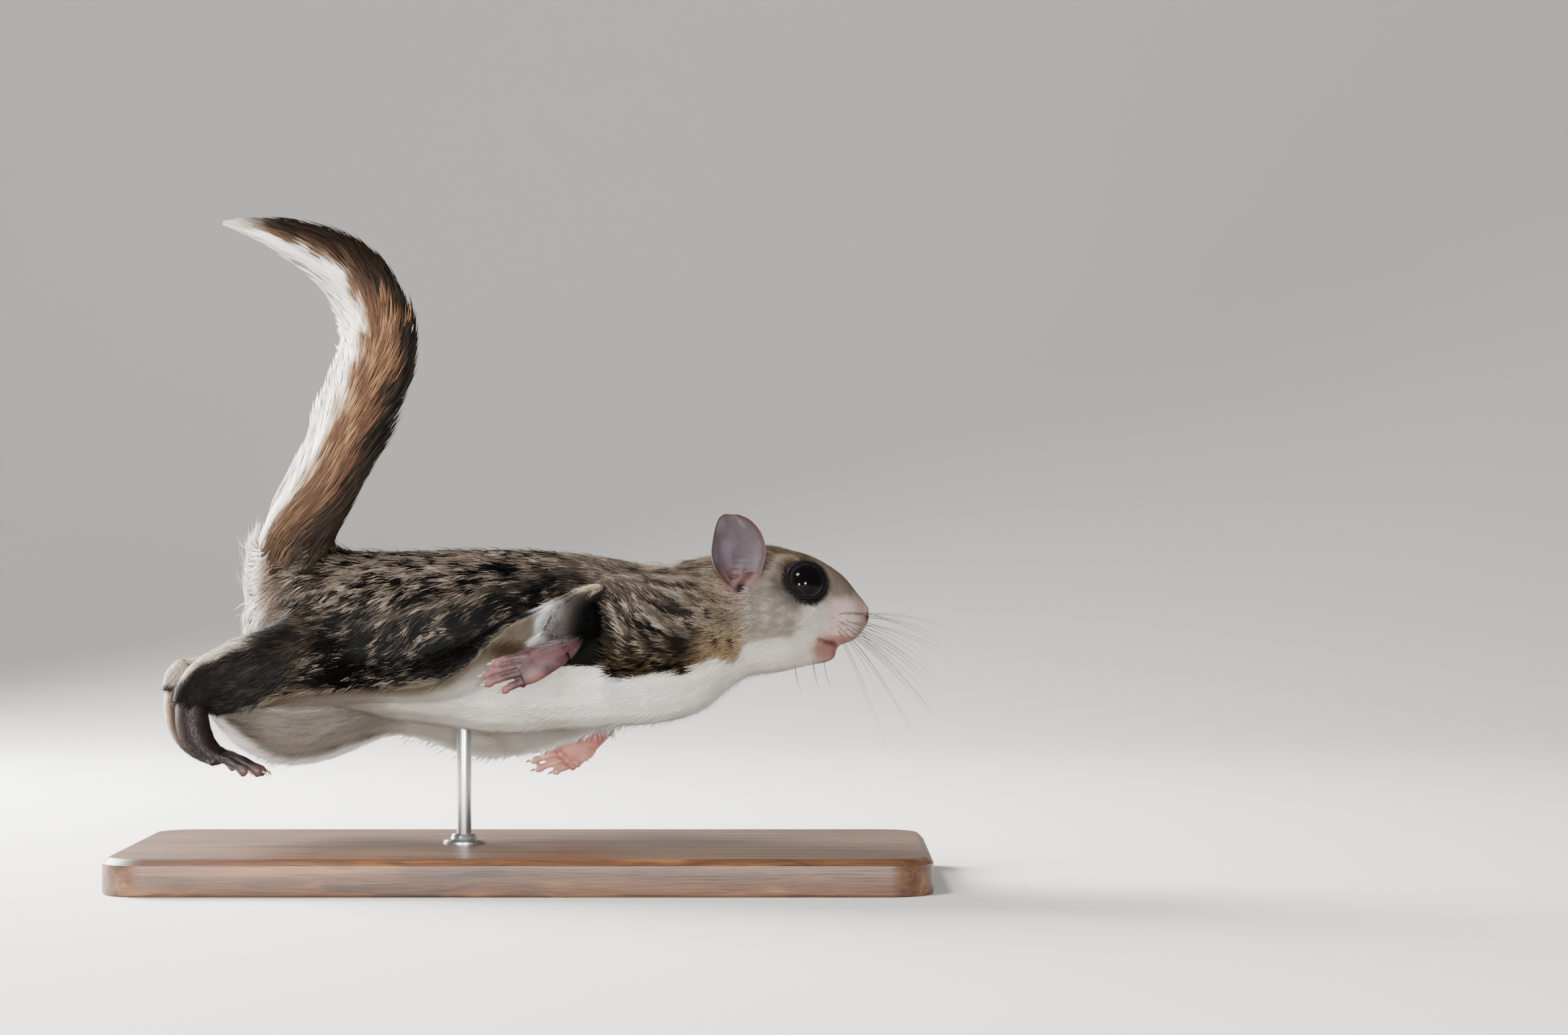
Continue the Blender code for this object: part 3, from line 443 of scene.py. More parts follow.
def loft(name: str, rings: Sequence[Array]) -> Piece:
    """Closed mesh through rings of points, each end closed by a fan.

    Args:
        name: Name of the object.
        rings: Rings of equal point counts.

    Returns:
        The object.
    """
    count = len(rings[0])
    points = [p for ring in rings for p in ring]
    faces: list[tuple[int, ...]] = []
    for r in range(len(rings) - 1):
        a, b = r * count, (r + 1) * count
        faces += [(a + i, a + (i + 1) % count, b + (i + 1) % count, b + i) for i in range(count)]
    for first in (0, (len(rings) - 1) * count):
        middle = len(points)
        points.append(np.mean(points[first : first + count], axis=0))
        faces += [(first + i, first + (i + 1) % count, middle) for i in range(count)]
    return mesh_object(name, np.array(points), faces)


def oval(centre: Array, side: Array, up: Array, wide: float, tall: float, count: int) -> Array:
    """Ring of points round a centre, from two directions and the half width along each."""
    angles = np.linspace(0, 2 * math.pi, count, endpoint=False)[:, None]
    return centre + side * wide * np.cos(angles) + up * tall * np.sin(angles)


def tube(name: str, rows: Rows, hint: Sequence[float], per: int, count: int) -> Piece:
    """Loft along a bent path.

    Args:
        name: Name of the object.
        rows: x, y, z, half width and half height at each row.
        hint: Direction that the half heights are nearest to.
        per: Steps between two rows.
        count: Points in a ring.

    Returns:
        The object.
    """
    path = spline(rows, per)
    rings = []
    for i, (x, y, z, wide, tall) in enumerate(path):
        along = unit(path[min(i + 1, len(path) - 1)][:3] - path[max(i - 1, 0)][:3])
        side = unit(np.cross(along, hint))
        rings.append(oval(np.array([x, y, z]), side, np.cross(side, along), wide, tall, count))
    return loft(name, rings)


def joined(name: str, pieces: Sequence[Piece]) -> Piece:
    """Joins objects into the first of them.

    Args:
        name: Name of the whole.
        pieces: The objects.

    Returns:
        The whole.
    """
    select_only(*pieces)
    if len(pieces) > 1:
        bpy.ops.object.join()
    pieces[0].name = name
    return pieces[0]


def read(source: object, attribute: str, width: int, kind: type = np.float32) -> Array:
    """Reads one attribute of all items of a Blender collection, as rows of a given width."""
    flat = np.empty(len(source) * width, kind)
    source.foreach_get(attribute, flat)
    return flat.reshape(-1, width)


def vertices_of(obj: Piece) -> Array:
    """Vertices of a mesh in mm, one to a row."""
    return read(obj.data.vertices, "co", 3).astype(float) / MM


def normals_of(obj: Piece) -> Array:
    """Outward direction at each vertex."""
    return read(obj.data.vertex_normals, "vector", 3).astype(float)


def move_vertices(obj: Piece, points: Array) -> None:
    """Sets a mesh's vertices, in mm."""
    obj.data.vertices.foreach_set("co", (points * MM).astype(np.float32).ravel())
    obj.data.update()


def unwrap(obj: Piece) -> None:
    """Gives a piece one UV map, an unwrap of its own shape.

    Args:
        obj: The piece.
    """
    while obj.data.uv_layers:
        obj.data.uv_layers.remove(obj.data.uv_layers[0])
    obj.data.uv_layers.new(name=BAKE_MAP)
    edit_all(obj, lambda: bpy.ops.uv.smart_project(angle_limit=math.radians(66), island_margin=0.002))


def paint(obj: Piece, colours: Array) -> None:
    """Writes colours into the attribute that the finishes read.

    Args:
        obj: The piece.
        colours: Linear colours, one to a vertex.
    """
    attribute = obj.data.color_attributes.new(COAT_COLOUR, "FLOAT_COLOR", "POINT")
    rgba = np.ones((len(colours), 4), np.float32)
    rgba[:, :3] = np.clip(colours, 0, 1)
    attribute.data.foreach_set("color", rgba.ravel())


def present(obj: Piece, material: bpy.types.Material, slot: Slot, *nodes: str) -> None:
    """Gives a finished piece its material and its body, and hides the nodes it stands for.

    Args:
        obj: Finished piece.
        material: Its one material.
        slot: The record's slot for it; not used.
        nodes: CAD nodes that it takes the place of.
    """
    obj.data.materials.clear()
    obj.data.materials.append(material)
    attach(obj, BODY)
    if nodes:
        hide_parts(*nodes)
    obj.data.calc_loop_triangles()
    log.info("%s: %d triangles", obj.name, len(obj.data.loop_triangles))


# Finishes


def add_node(
    tree: NodeTree,
    kind: str,
    values: dict[str | int, object] | None = None,
    links: dict[str | int, Node | bpy.types.NodeSocket] | None = None,
    stops: Sequence[tuple[float, str]] = (),
    **settings: object,
) -> Node:
    """Adds one node with its settings and links.

    Args:
        tree: Node tree that takes it.
        kind: Blender's name of the node type, after "ShaderNode".
        values: Value of each socket that is the same all over, colours as hex.
        links: What feeds each linked input: a socket, or a node for its first output.
        stops: Place and colour of each stop of a ramp of colours, lowest first.
        settings: The node's own settings.

    Returns:
        The node.
    """
    made = tree.nodes.new("ShaderNode" + kind)
    for name, setting in settings.items():
        setattr(made, name, setting)
    for socket, value in (values or {}).items():
        made.inputs[socket].default_value = (*linear(value), 1) if isinstance(value, str) else value
    for socket, source in (links or {}).items():
        source = source.outputs[0] if isinstance(source, Node) else source
        tree.links.new(source, made.inputs[socket])
    for k, (place, colour) in enumerate(stops):
        row = made.color_ramp.elements
        between = 0 < k < len(stops) - 1
        stop = row.new(place) if between else row[-1 if k else 0]  # a new ramp has its two ends
        stop.position, stop.color = place, (*linear(colour), 1)
    return made


@dataclass(frozen=True)
class Finish:
    """A named material; each kind of finish builds its own shader."""

    name: str

    def material(self) -> bpy.types.Material:
        """The material, with its shader linked to its output."""
        made = bpy.data.materials.new(self.name)
        made.use_nodes = True
        made.node_tree.nodes.clear()
        shader = self.shader(made.node_tree)
        add_node(made.node_tree, "OutputMaterial", links={"Surface": shader})
        return made

    def shader(self, tree: NodeTree) -> Node:
        """The finish's shader.

        Args:
            tree: Node tree that takes its nodes.

        Returns:
            The shader.
        """
        raise NotImplementedError


@dataclass(frozen=True)
class FurFinish(Finish):
    """Fine keratin hair: dull along its length, with a soft glow where light comes from behind."""

    roughness: float = 0.55
    ior: float = 1.55
    glow: float = 0.5  # share of the light that goes on through the hairs
    glow_reach: float = 0.45  # mm

    def shader(self, tree: NodeTree) -> Node:
        """The coat's shader; its colours come with each tuft.

        Args:
            tree: Node tree that takes its nodes.

        Returns:
            The shader.
        """
        colour = add_node(tree, "Attribute", attribute_name=COAT_COLOUR)
        values = {
            "Roughness": self.roughness, "IOR": self.ior, "Specular IOR Level": 0.07,
            "Subsurface Weight": self.glow, "Subsurface Radius": (1.0, 0.8, 0.6),
            "Subsurface Scale": self.glow_reach * MM,
        }
        links = {"Base Color": colour}
        return add_node(tree, "BsdfPrincipled", values, links, subsurface_method="BURLEY")


@dataclass(frozen=True)
class HideFinish(Finish):
    """Skin under the coat, with fine down: matt, and rough with hair roots 0.5 mm apart."""

    name: str = "downy_hide"
    root_spacing: float = 0.5
    root_height: float = 0.15

    def shader(self, tree: NodeTree) -> Node:
        """The hide's shader, in the coat's own markings.

        Args:
            tree: Node tree that takes its nodes.

        Returns:
            The shader.
        """
        colour = add_node(tree, "Attribute", attribute_name=COAT_COLOUR)
        place = add_node(tree, "TexCoord").outputs["Object"]
        grain = {"Scale": 1 / (self.root_spacing * MM), "Detail": 3.0}
        roots = add_node(tree, "TexNoise", grain, {"Vector": place})
        relief = {"Strength": 0.6, "Distance": self.root_height * MM}
        bump = add_node(tree, "Bump", relief, {"Height": roots})
        values = {"Roughness": 0.85, "IOR": 1.45, "Specular IOR Level": 0.2}
        return add_node(tree, "BsdfPrincipled", values, {"Base Color": colour, "Normal": bump})


@dataclass(frozen=True)
class BareSkinFinish(Finish):
    """Naked skin of hands, feet, ears and lips: thin and moist, so light bleeds through it."""

    bleed: float = 0.18
    bleed_radius: float = 1.2  # mm
    crease: float = 0.45  # mm between creases
    crease_depth: float = 0.06
    mottle: float = 1.4  # mm
    roughness: float = 0.48
    ior: float = 1.4

    def shader(self, tree: NodeTree) -> Node:
        """The skin's shader; its tint comes with the piece.

        Args:
            tree: Node tree that takes its nodes.

        Returns:
            The shader.
        """
        place = add_node(tree, "TexCoord").outputs["Object"]
        colour = add_node(tree, "Attribute", attribute_name=COAT_COLOUR)
        cells = {"Scale": 1 / (self.crease * MM)}
        creases = add_node(
            tree, "TexVoronoi", cells, {"Vector": place}, feature="DISTANCE_TO_EDGE"
        )
        grain = {"Scale": 1 / (self.mottle * MM), "Detail": 4.0}
        patches = add_node(tree, "TexNoise", grain, {"Vector": place})
        mix = {"data_type": "RGBA", "blend_type": "MULTIPLY"}
        tint = add_node(tree, "Mix", {7: "#d9cfcb"}, {0: patches, 6: colour}, **mix)
        relief = {"Strength": 0.5, "Distance": self.crease_depth * MM}
        bump = add_node(tree, "Bump", relief, {"Height": creases})
        values = {
            "Roughness": self.roughness, "IOR": self.ior, "Subsurface Weight": self.bleed,
            "Subsurface Radius": (1.0, 0.35, 0.25), "Subsurface Scale": self.bleed_radius * MM,
        }
        links = {"Base Color": tint.outputs[2], "Normal": bump}
        return add_node(tree, "BsdfPrincipled", values, links)


@dataclass(frozen=True)
class EyeFinish(Finish):
    """Blown glass eye as in a mounted animal: wet, near black, a dark brown iris at its edge and a
    faint blue-grey ring round that, a painted reflection.
    """

    side: Side
    pupil: float = 3.0  # radius in mm
    iris: float = 4.1
    fade: float = 0.7  # mm over which one ring turns into the next
    reach: float = 7.0  # mm from the front of the eye that the rings are laid out over

    def shader(self, tree: NodeTree) -> Node:
        """The eye's shader, ringed round the direction that it looks in.

        Args:
            tree: Node tree that takes its nodes.

        Returns:
            The shader.
        """
        front = eye_centre(self.side) + eye_axis(self.side) * EYE_RADIUS
        place = add_node(tree, "TexCoord").outputs["Object"]
        off = add_node(
            tree, "VectorMath", {1: tuple(front * MM)}, {0: place}, operation="DISTANCE"
        )
        span = {"From Min": 0.0, "From Max": self.reach * MM}
        ring = add_node(tree, "MapRange", span, {"Value": off.outputs["Value"]})
        # Pupil, dark brown iris, then a faint blue-grey band at the iris's outer edge: a painted
        # reflection
        rings = (
            (0.0, "#050404"), (self.pupil, "#060505"), (self.pupil + self.fade, "#120c0a"),
            (self.iris, "#1a1a20"), (self.iris + self.fade, "#0a0808"),
        )
        stops = [(radius / self.reach, colour) for radius, colour in rings]
        bands = add_node(tree, "ValToRGB", None, {"Fac": ring}, stops)
        values = {"Roughness": 0.02, "IOR": 1.4, "Specular IOR Level": 0.13}
        return add_node(tree, "BsdfPrincipled", values, {"Base Color": bands})


@dataclass(frozen=True)
class PlainFinish(Finish):
    """A small smooth part of one substance, with a light mottle so that it isn't flat."""

    colour: str
    shade: str
    roughness: float
    ior: float = 1.5
    mottle: float = 0.6  # mm
    specular: float = 0.5  # strength of the shine

    def shader(self, tree: NodeTree) -> Node:
        """The substance's shader.

        Args:
            tree: Node tree that takes its nodes.

        Returns:
            The shader.
        """
        place = add_node(tree, "TexCoord").outputs["Object"]
        grain = {"Scale": 1 / (self.mottle * MM), "Detail": 3.0}
        patches = add_node(tree, "TexNoise", grain, {"Vector": place})
        tints = {6: self.shade, 7: self.colour}
        colour = add_node(tree, "Mix", tints, {0: patches}, data_type="RGBA")
        values = {
            "Roughness": self.roughness, "IOR": self.ior, "Specular IOR Level": self.specular,
        }
        return add_node(tree, "BsdfPrincipled", values, {"Base Color": colour.outputs[2]})


@dataclass(frozen=True)
class WalnutFinish(Finish):
    """Oiled walnut, sawn along the board: brown streaks 3 mm apart and dark pores 0.3 mm wide."""

    name: str = "oiled_walnut"
    streak: float = 3.0  # mm across the grain
    pore: float = 0.35  # mm across; real pores are 0.2 mm, too fine to show
    bend: float = 28.0  # mm between the grain's slow bends
    drawn: float = 0.05  # width of a streak over its length
    pore_drawn: float = 0.035

    def shader(self, tree: NodeTree) -> Node:
        """The wood's shader, with its grain along X.

        Args:
            tree: Node tree that takes its nodes.

        Returns:
            The shader.
        """
        place = add_node(tree, "TexCoord").outputs["Object"]
        slow = {"Scale": 1 / (self.bend * MM), "Detail": 2.0}
        wander = add_node(tree, "TexNoise", slow, {"Vector": place}).outputs["Color"]
        sway = {1: (0.0, 9 * MM, 4 * MM)}
        bent = add_node(
            tree, "VectorMath", sway, {0: wander, 2: place}, operation="MULTIPLY_ADD"
        )
        long = add_node(tree, "Mapping", {"Scale": (self.drawn, 1.0, 1.0)}, {"Vector": bent})
        grain = {"Scale": 1 / (self.streak * MM), "Detail": 5.0, "Roughness": 0.6}
        streaks = add_node(tree, "TexNoise", grain, {"Vector": long})
        browns = ((0.3, "#2b190f"), (0.5, "#52331d"), (0.72, "#79502f"))
        colours = add_node(tree, "ValToRGB", None, {"Fac": streaks}, browns)
        thin = add_node(tree, "Mapping", {"Scale": (self.pore_drawn, 1.0, 1.0)}, {"Vector": place})
        fine = {"Scale": 1 / (self.pore * MM), "Detail": 1.0}
        pores = add_node(tree, "TexNoise", fine, {"Vector": thin})
        darks = ((0.3, "#a09590"), (0.42, "#ffffff"))
        dark = add_node(tree, "ValToRGB", None, {"Fac": pores}, darks)
        wood = add_node(
            tree, "Mix", {0: 0.8}, {6: colours, 7: dark}, data_type="RGBA", blend_type="MULTIPLY"
        )
        relief = {"Strength": 0.35, "Distance": 0.08 * MM}
        bump = add_node(tree, "Bump", relief, {"Height": pores})
        sheen = add_node(tree, "MapRange", {"To Min": 0.5, "To Max": 0.32}, {"Value": streaks})
        values = {"IOR": 1.5, "Coat Weight": 0.1, "Coat Roughness": 0.4}
        links = {"Base Color": wood.outputs[2], "Normal": bump, "Roughness": sheen}
        return add_node(tree, "BsdfPrincipled", values, links)


@dataclass(frozen=True)
class SteelFinish(Finish):
    """Drawn stainless steel rod, its fine drawing lines running up it."""

    name: str = "drawn_steel"
    line: float = 0.25  # mm between lines; real ones are finer than the render shows
    drawn: float = 0.03  # width of a line over its length

    def shader(self, tree: NodeTree) -> Node:
        """The metal's shader.

        Args:
            tree: Node tree that takes its nodes.

        Returns:
            The shader.
        """
        place = add_node(tree, "TexCoord").outputs["Object"]
        long = add_node(tree, "Mapping", {"Scale": (1.0, 1.0, self.drawn)}, {"Vector": place})
        grain = {"Scale": 1 / (self.line * MM), "Detail": 2.0}
        lines = add_node(tree, "TexNoise", grain, {"Vector": long})
        dull = add_node(tree, "MapRange", {"To Min": 0.2, "To Max": 0.42}, {"Value": lines})
        bump = add_node(tree, "Bump", {"Strength": 0.15, "Distance": 0.02 * MM}, {"Height": lines})
        values = {"Base Color": "#c3c4c6", "Metallic": 1.0}
        return add_node(tree, "BsdfPrincipled", values, {"Roughness": dull, "Normal": bump})


@dataclass(frozen=True)
class PaperFinish(Finish):
    """Matt seamless paper, pale and even, that takes soft shadows."""

    name: str = "matt_paper"

    def shader(self, tree: NodeTree) -> Node:
        """The paper's shader."""
        values = {"Base Color": "#e3e1dc", "Roughness": 0.9, "Specular IOR Level": 0.2}
        return add_node(tree, "BsdfPrincipled", values)


# The coat's markings and lie


class Layers:
    """Colours of many places, laid one over another."""

    def __init__(self, count: int, colour: str) -> None:
        """Starts so many places with one colour all over."""
        self.colours = np.tile(np.array(linear(colour)), (count, 1))

    def lay(self, colour: str, share: Array) -> None:
        """Lays a colour over the others, by its share, from 0 to 1, at each place."""
        share = np.clip(share, 0, 1)[:, None]
        self.colours = self.colours * (1 - share) + np.array(linear(colour)) * share

    def toned(self, depth: float) -> Array:
        """The colours with their lightness raised to a power, their hues kept."""
        light = self.colours.mean(axis=1, keepdims=True)
        return self.colours * light ** (depth - 1)


@dataclass(frozen=True)
class Markings:
    """The body's colours: grizzled tan above, black on the flank and legs, cream below."""

    edge_wander: float = 0.7  # mm that the upper coat's edge strays
    eye_rim: float = 4.25  # no hair grows nearer to an eye's axis
    nose_bare: float = 2.6  # mm round the nose's tip without hair
    concha_bare: float = 2.2  # mm round an ear's bare fold without hair
    tail_foot: float = 72.3  # above this the rump's end lies inside the tail
    tail_join: float = 9.0  # mm round the tail's axis there
    depth_of_tone: float = 1.6  # bright lamps wash the dark hairs out, which this makes good

    def above_split(self, points: Array) -> Array:
        """How far places lie above the surface that parts the upper coat from the under coat.

        Args:
            points: Places in mm.

        Returns:
            A height in mm for each, below zero in the under coat.
        """
        x, y, z = points.T
        knots = []
        for rows in (NEAR_MARGIN, NEAR_ROOT, FAR_ROOT, FAR_MARGIN):
            line = np.array(rows)[::-1]
            knots.append([np.interp(x, line[:, 0], line[:, k]) for k in (1, 2)])
        (y0, z0), (y1, z1), (y2, z2), (y3, z3) = knots
        near = z1 + (z0 - z1) * (y - y1) / np.minimum(y0 - y1, -1)
        far = z2 + (z3 - z2) * (y - y2) / np.maximum(y3 - y2, 1)
        between = z1 + (z2 - z1) * (y - y1) / (y2 - y1)
        skin = z - np.where(y < y1, near, np.where(y > y2, far, between))
        bank = np.interp(x, (40, 50), (BODY_BANK, HEAD_BANK))
        upright = y * np.sin(bank) + (z - BODY_AXIS_Z) * np.cos(bank)
        front = upright - np.interp(x, *np.array(FRONT_SPLIT).T)
        blend = ramp(x, *SPLIT_BLEND)
        return skin * (1 - blend) + front * blend

    def tips(self, points: Array) -> Array:
        """Colour of the coat's surface at places on the body.

        Args:
            points: Places in mm.

        Returns:
            Linear colours, one to a row.
        """
        x, y = points[:, 0], points[:, 1]
        height = self.above_split(points)
        stray = (noise(points, 2.0, 1) - 0.5) * 2 * self.edge_wander
        stray += 1.3 * ramp(np.abs(x - 22.5), 7, 3) * ramp(y, -6, -12)
        upper = ramp(height + stray, -0.35, 0.45)
        coat = Layers(len(points), "#e6e2d8")
        self.under_coat(coat, points, height)
        back = Layers(len(points), "#191614")
        self.upper_coat(back, points, height)
        coat.colours += (back.colours - coat.colours) * upper[:, None]
        # Near white along the far margin: its pale fringe, whitened as painted rim light from behind
        coat.lay("#fbfbfa", ramp(along_line(points, FAR_MARGIN), 5.4, 3.0))
        self.near_forelimb(coat, points)
        self.hind_limbs(coat, points, height)
        self.face(coat, points)
        return coat.toned(self.depth_of_tone)

    def under_coat(self, coat: Layers, points: Array, height: Array) -> None:
        """Cream belly, tan under the near margin, grey-brown behind, white at the far margin as
        painted rim light on its pale fringe.

        Args:
            coat: Their colours so far.
            points: The places in mm.
            height: Their height over the edge of the upper coat.
        """
        x, y, z = points.T
        soft = noise(points, (5, 3, 3), 2)
        coat.lay("#ddd3bd", 0.6 * ramp(soft, 0.35, 0.8))
        # Faint grey-blue stripes across the belly: painted shade of the folds in its fur
        coat.lay("#cdd2d8", 0.5 * ramp(noise(points, (3.0, 6.0, 6.0), 22), 0.52, 0.8))
        behind = ramp(x, -24, -34) * ramp(y, -24, -18)
        waves = 0.6 * noise(points, (5.5, 0.9, 0.9), 3) + 0.4 * noise(points, (2.4, 0.6, 0.6), 18)
        to_rim = along_line(points, FAR_MARGIN)
        lobe = behind * ramp(to_rim, 3.0, 7.0)
        coat.lay("#948b81", 0.9 * lobe)
        coat.lay("#97836b", 0.7 * lobe * ramp(z, 38, 42))
        coat.lay("#5a524b", 0.8 * lobe * ramp(waves, 0.54, 0.66))
        coat.lay("#bdb7ad", 0.6 * ramp(x, -2, -22) * ramp(to_rim, 4, 9))
        near = ramp(y, -16, -22) * ramp(x, 12, 4) * ramp(x, -60, -50)
        coat.lay("#6f5b41", 0.8 * near * ramp(height, -5.0, -0.8))
        window = near * ramp(x, -12, -6) * ramp(z, 48, 51)
        coat.lay("#978b78", 0.8 * window)
        shadow = np.hypot((x + 1.5) / 4.5, (z - 52.3) / 2.2)
        coat.lay("#6b5335", 0.85 * near * ramp(shadow, 1.2, 0.4))
        # Whiter still at the far margin's edge: painted rim light from behind on its pale fringe
        coat.lay("#f2f4f7", 0.9 * ramp(to_rim, 4.0, 1.5))
        coat.lay("#efece3", ramp(x, 8, 16) * ramp(height, -3.5, -8))

    def upper_coat(self, coat: Layers, points: Array, height: Array) -> None:
        """Tan clumps on black over the back, smaller flecks on the flank, streaks in front.

        Args:
            coat: Their colours so far.
            points: The places in mm.
            height: Their height over the edge of the upper coat.
        """
        x, z = points[:, 0], points[:, 2]
        patches = noise(points, (9, 5, 5), 9)
        clumps = 0.5 * noise(points, (2.6, 1.2, 1.2), 4) + 0.5 * noise(points, (1.1, 0.6, 0.6), 5)
        flecks = 0.5 * noise(points, (1.2, 1.2, 2.2), 6) + 0.5 * noise(points, (0.7, 0.7, 1.2), 7)
        high = ramp(height, 9, 20)
        shift = 0.16 * (patches - 0.5)
        tan = high * ramp(clumps - shift, 0.43, 0.55)
        tan += (1 - high) * 0.65 * ramp(flecks - shift, 0.57, 0.67)
        coat.lay("#887a6d", tan)
        coat.lay("#aa9b8d", tan * ramp(noise(points, (1.5, 0.7, 0.7), 8), 0.5, 0.72))
        coat.lay("#0f0d0c", ramp(height, 8.5, 4.0) * ramp(x, 10, 2) * ramp(x, -30, -12) * 0.85)
        rump = ramp(x, -38, -50)
        coat.lay("#766654", rump * 0.8 * ramp(noise(points, (1.6, 0.8, 1.6), 10), 0.36, 0.6))
        # Paler tan, then near white, at the rump's rear edge: painted rim light from behind
        coat.lay("#a8907f", ramp(x, -51.5, -55.5) * ramp(z, 51, 56) * 0.8)
        coat.lay("#fbf8f2", ramp(x, -55.5, -57.8) * ramp(z, 50, 53))
        front = ramp(x, 4, 18)
        off = points[:, [0, 2]] - (17.9, 65.5)
        reach = np.linalg.norm(off, axis=1)
        fan = np.stack([reach, np.arctan2(off[:, 1], off[:, 0]) * 14, points[:, 1]], axis=1)
        streaks = 0.6 * noise(fan, (6.0, 1.1, 9.0), 11) + 0.4 * noise(fan, (3.0, 0.6, 6.0), 12)
        coat.lay("#857668", front * (0.32 + 0.55 * ramp(clumps - shift, 0.32, 0.46)))
        coat.lay("#b0a294", front * ramp(noise(fan, (4.0, 0.7, 6.0), 13), 0.5, 0.75) * 0.8)
        dusk = front * ramp(streaks, 0.45, 0.54) * ramp(x, 46, 36) * ramp(height, 16, 8)
        coat.lay("#1a1512", dusk * 0.92)
        lower = front * ramp(height, 6.5, 1) * ramp(x, 44, 36)
        coat.lay("#7f6c4e", lower * 0.6)
        coat.lay("#1f1914", lower * ramp(noise(points, (1.5, 1.0, 1.0), 14), 0.42, 0.56))
        neck = ramp(x, 35, 43)
        coat.lay("#94846f", neck * 0.7)
        coat.lay("#a98e69", neck * ramp(height, 8, 2) * ramp(x, 51, 46) * 0.8)
        for at_x, at_z in ((40.6, 58.5), (42.3, 53.3), (45.4, 52.8)):
            dash = np.hypot((x - at_x + 0.35 * (z - at_z)) / 0.55, (z - at_z) / 1.5)
            coat.lay("#1f1a17", ramp(dash, 1.2, 0.5) * ramp(points[:, 1], 4, 0) * 0.85)

    def near_forelimb(self, coat: Layers, points: Array) -> None:
        """The near arm's fold: cream comb, grey inside, and dark fur turned black by painted shade in
        the hollow behind the shoulder.

        Args:
            coat: Their colours so far.
            points: The places in mm.
        """
        x, y, z = points.T
        flat = points[:, [0, 2]]
        back = np.interp(z, (50, 54, 58, 61, 64), (-15, -17.5, -24.5, -26, -23))
        facing = ramp(y - back, 1.5, 0.0)
        arm = facing * ramp(x, 19.0, 17.8) * ramp(x, 3.2, 4.6)
        comb = along_line(flat, ((5.8, 61.2), (9.5, 63.9), (13.5, 65.0), (17.9, 65.3)))
        below = z < np.interp(x, (4, 9.5, 13.5, 17.9), (62, 64.2, 65.4, 65.7))
        edge = along_line(flat, ((6.9, 61.0), (5.0, 57.8), (4.5, 54.5), (2.8, 53.2)))
        hollow = along_line(flat, ((17.6, 58.0), (16.0, 52.5), (13.4, 49.5)))
        below = below & (z > 47.6)
        coat.lay("#7d736f", arm * below * 0.95)
        coat.lay("#b5b3b8", arm * below * ramp(edge, 4.2, 1.6) * 0.85)
        # Dark grey, then black, towards the hollow behind the shoulder: dark fur, deepened to black
        # by painted shade in the hollow
        coat.lay("#443c39", arm * below * ramp(hollow, 7.8, 4.8) * 0.9)
        coat.lay("#0c0a0a", arm * below * ramp(hollow, 5.4, 3.2))
        teeth = np.maximum(ramp(np.sin(x * 5.2 + z * 2), -0.6, 0.5), ramp(x, 11.5, 13.5))
        coat.lay("#d9c6a6", facing * ramp(comb, 1.4, 0.7) * teeth * ramp(x, 18.4, 17.0))
        coat.lay("#e2e3e4", facing * ramp(edge, 1.1, 0.4))

    def hind_limbs(self, coat: Layers, points: Array, height: Array) -> None:
        """Black-brown thighs and shanks, browner at the heel, pale along their top as painted rim
        light.

        Args:
            coat: Their colours so far.
            points: The places in mm.
            height: Their height over the edge of the upper coat.
        """
        x, z = points[:, 0], points[:, 2]
        near = ramp(along_line(points, ((-46, -16, 49), (-60, -17.8, 46), (-71, -15, 41))), 11, 7)
        far = ramp(along_line(points, ((-46, 17, 42), (-62, 16, 39), (-77, 7, 42))), 10, 7)
        leg = np.maximum(near, far) * ramp(x, -44, -52) * ramp(height, -3.5, -0.5)
        coat.lay("#181211", 0.92 * leg)
        coat.lay("#54443b", leg * ramp(noise(points, (2.0, 0.7, 0.7), 15), 0.54, 0.72) * 0.8)
        shank = np.maximum(
            ramp(along_line(points, ((-66, -16, 44), (-71.8, -15, 38))), 8, 6),
            ramp(along_line(points, ((-71, 10, 42), (-77.6, 7, 38))), 8, 6),
        ) * ramp(x, -62, -67)
        coat.lay("#2c1f1b", shank * 0.9)
        coat.lay("#54423b", shank * ramp(noise(points, 1.0, 16), 0.55, 0.8) * 0.6)
        # Pale along the legs' upper edge: painted rim light from behind
        top = z - np.interp(x, (-77, -73, -68, -61, -56), (44.0, 46.0, 49.2, 51.8, 53.5))
        coat.lay("#c9bdae", ramp(x, -54, -60) * ramp(top, -1.7, 0.0) * 0.85)

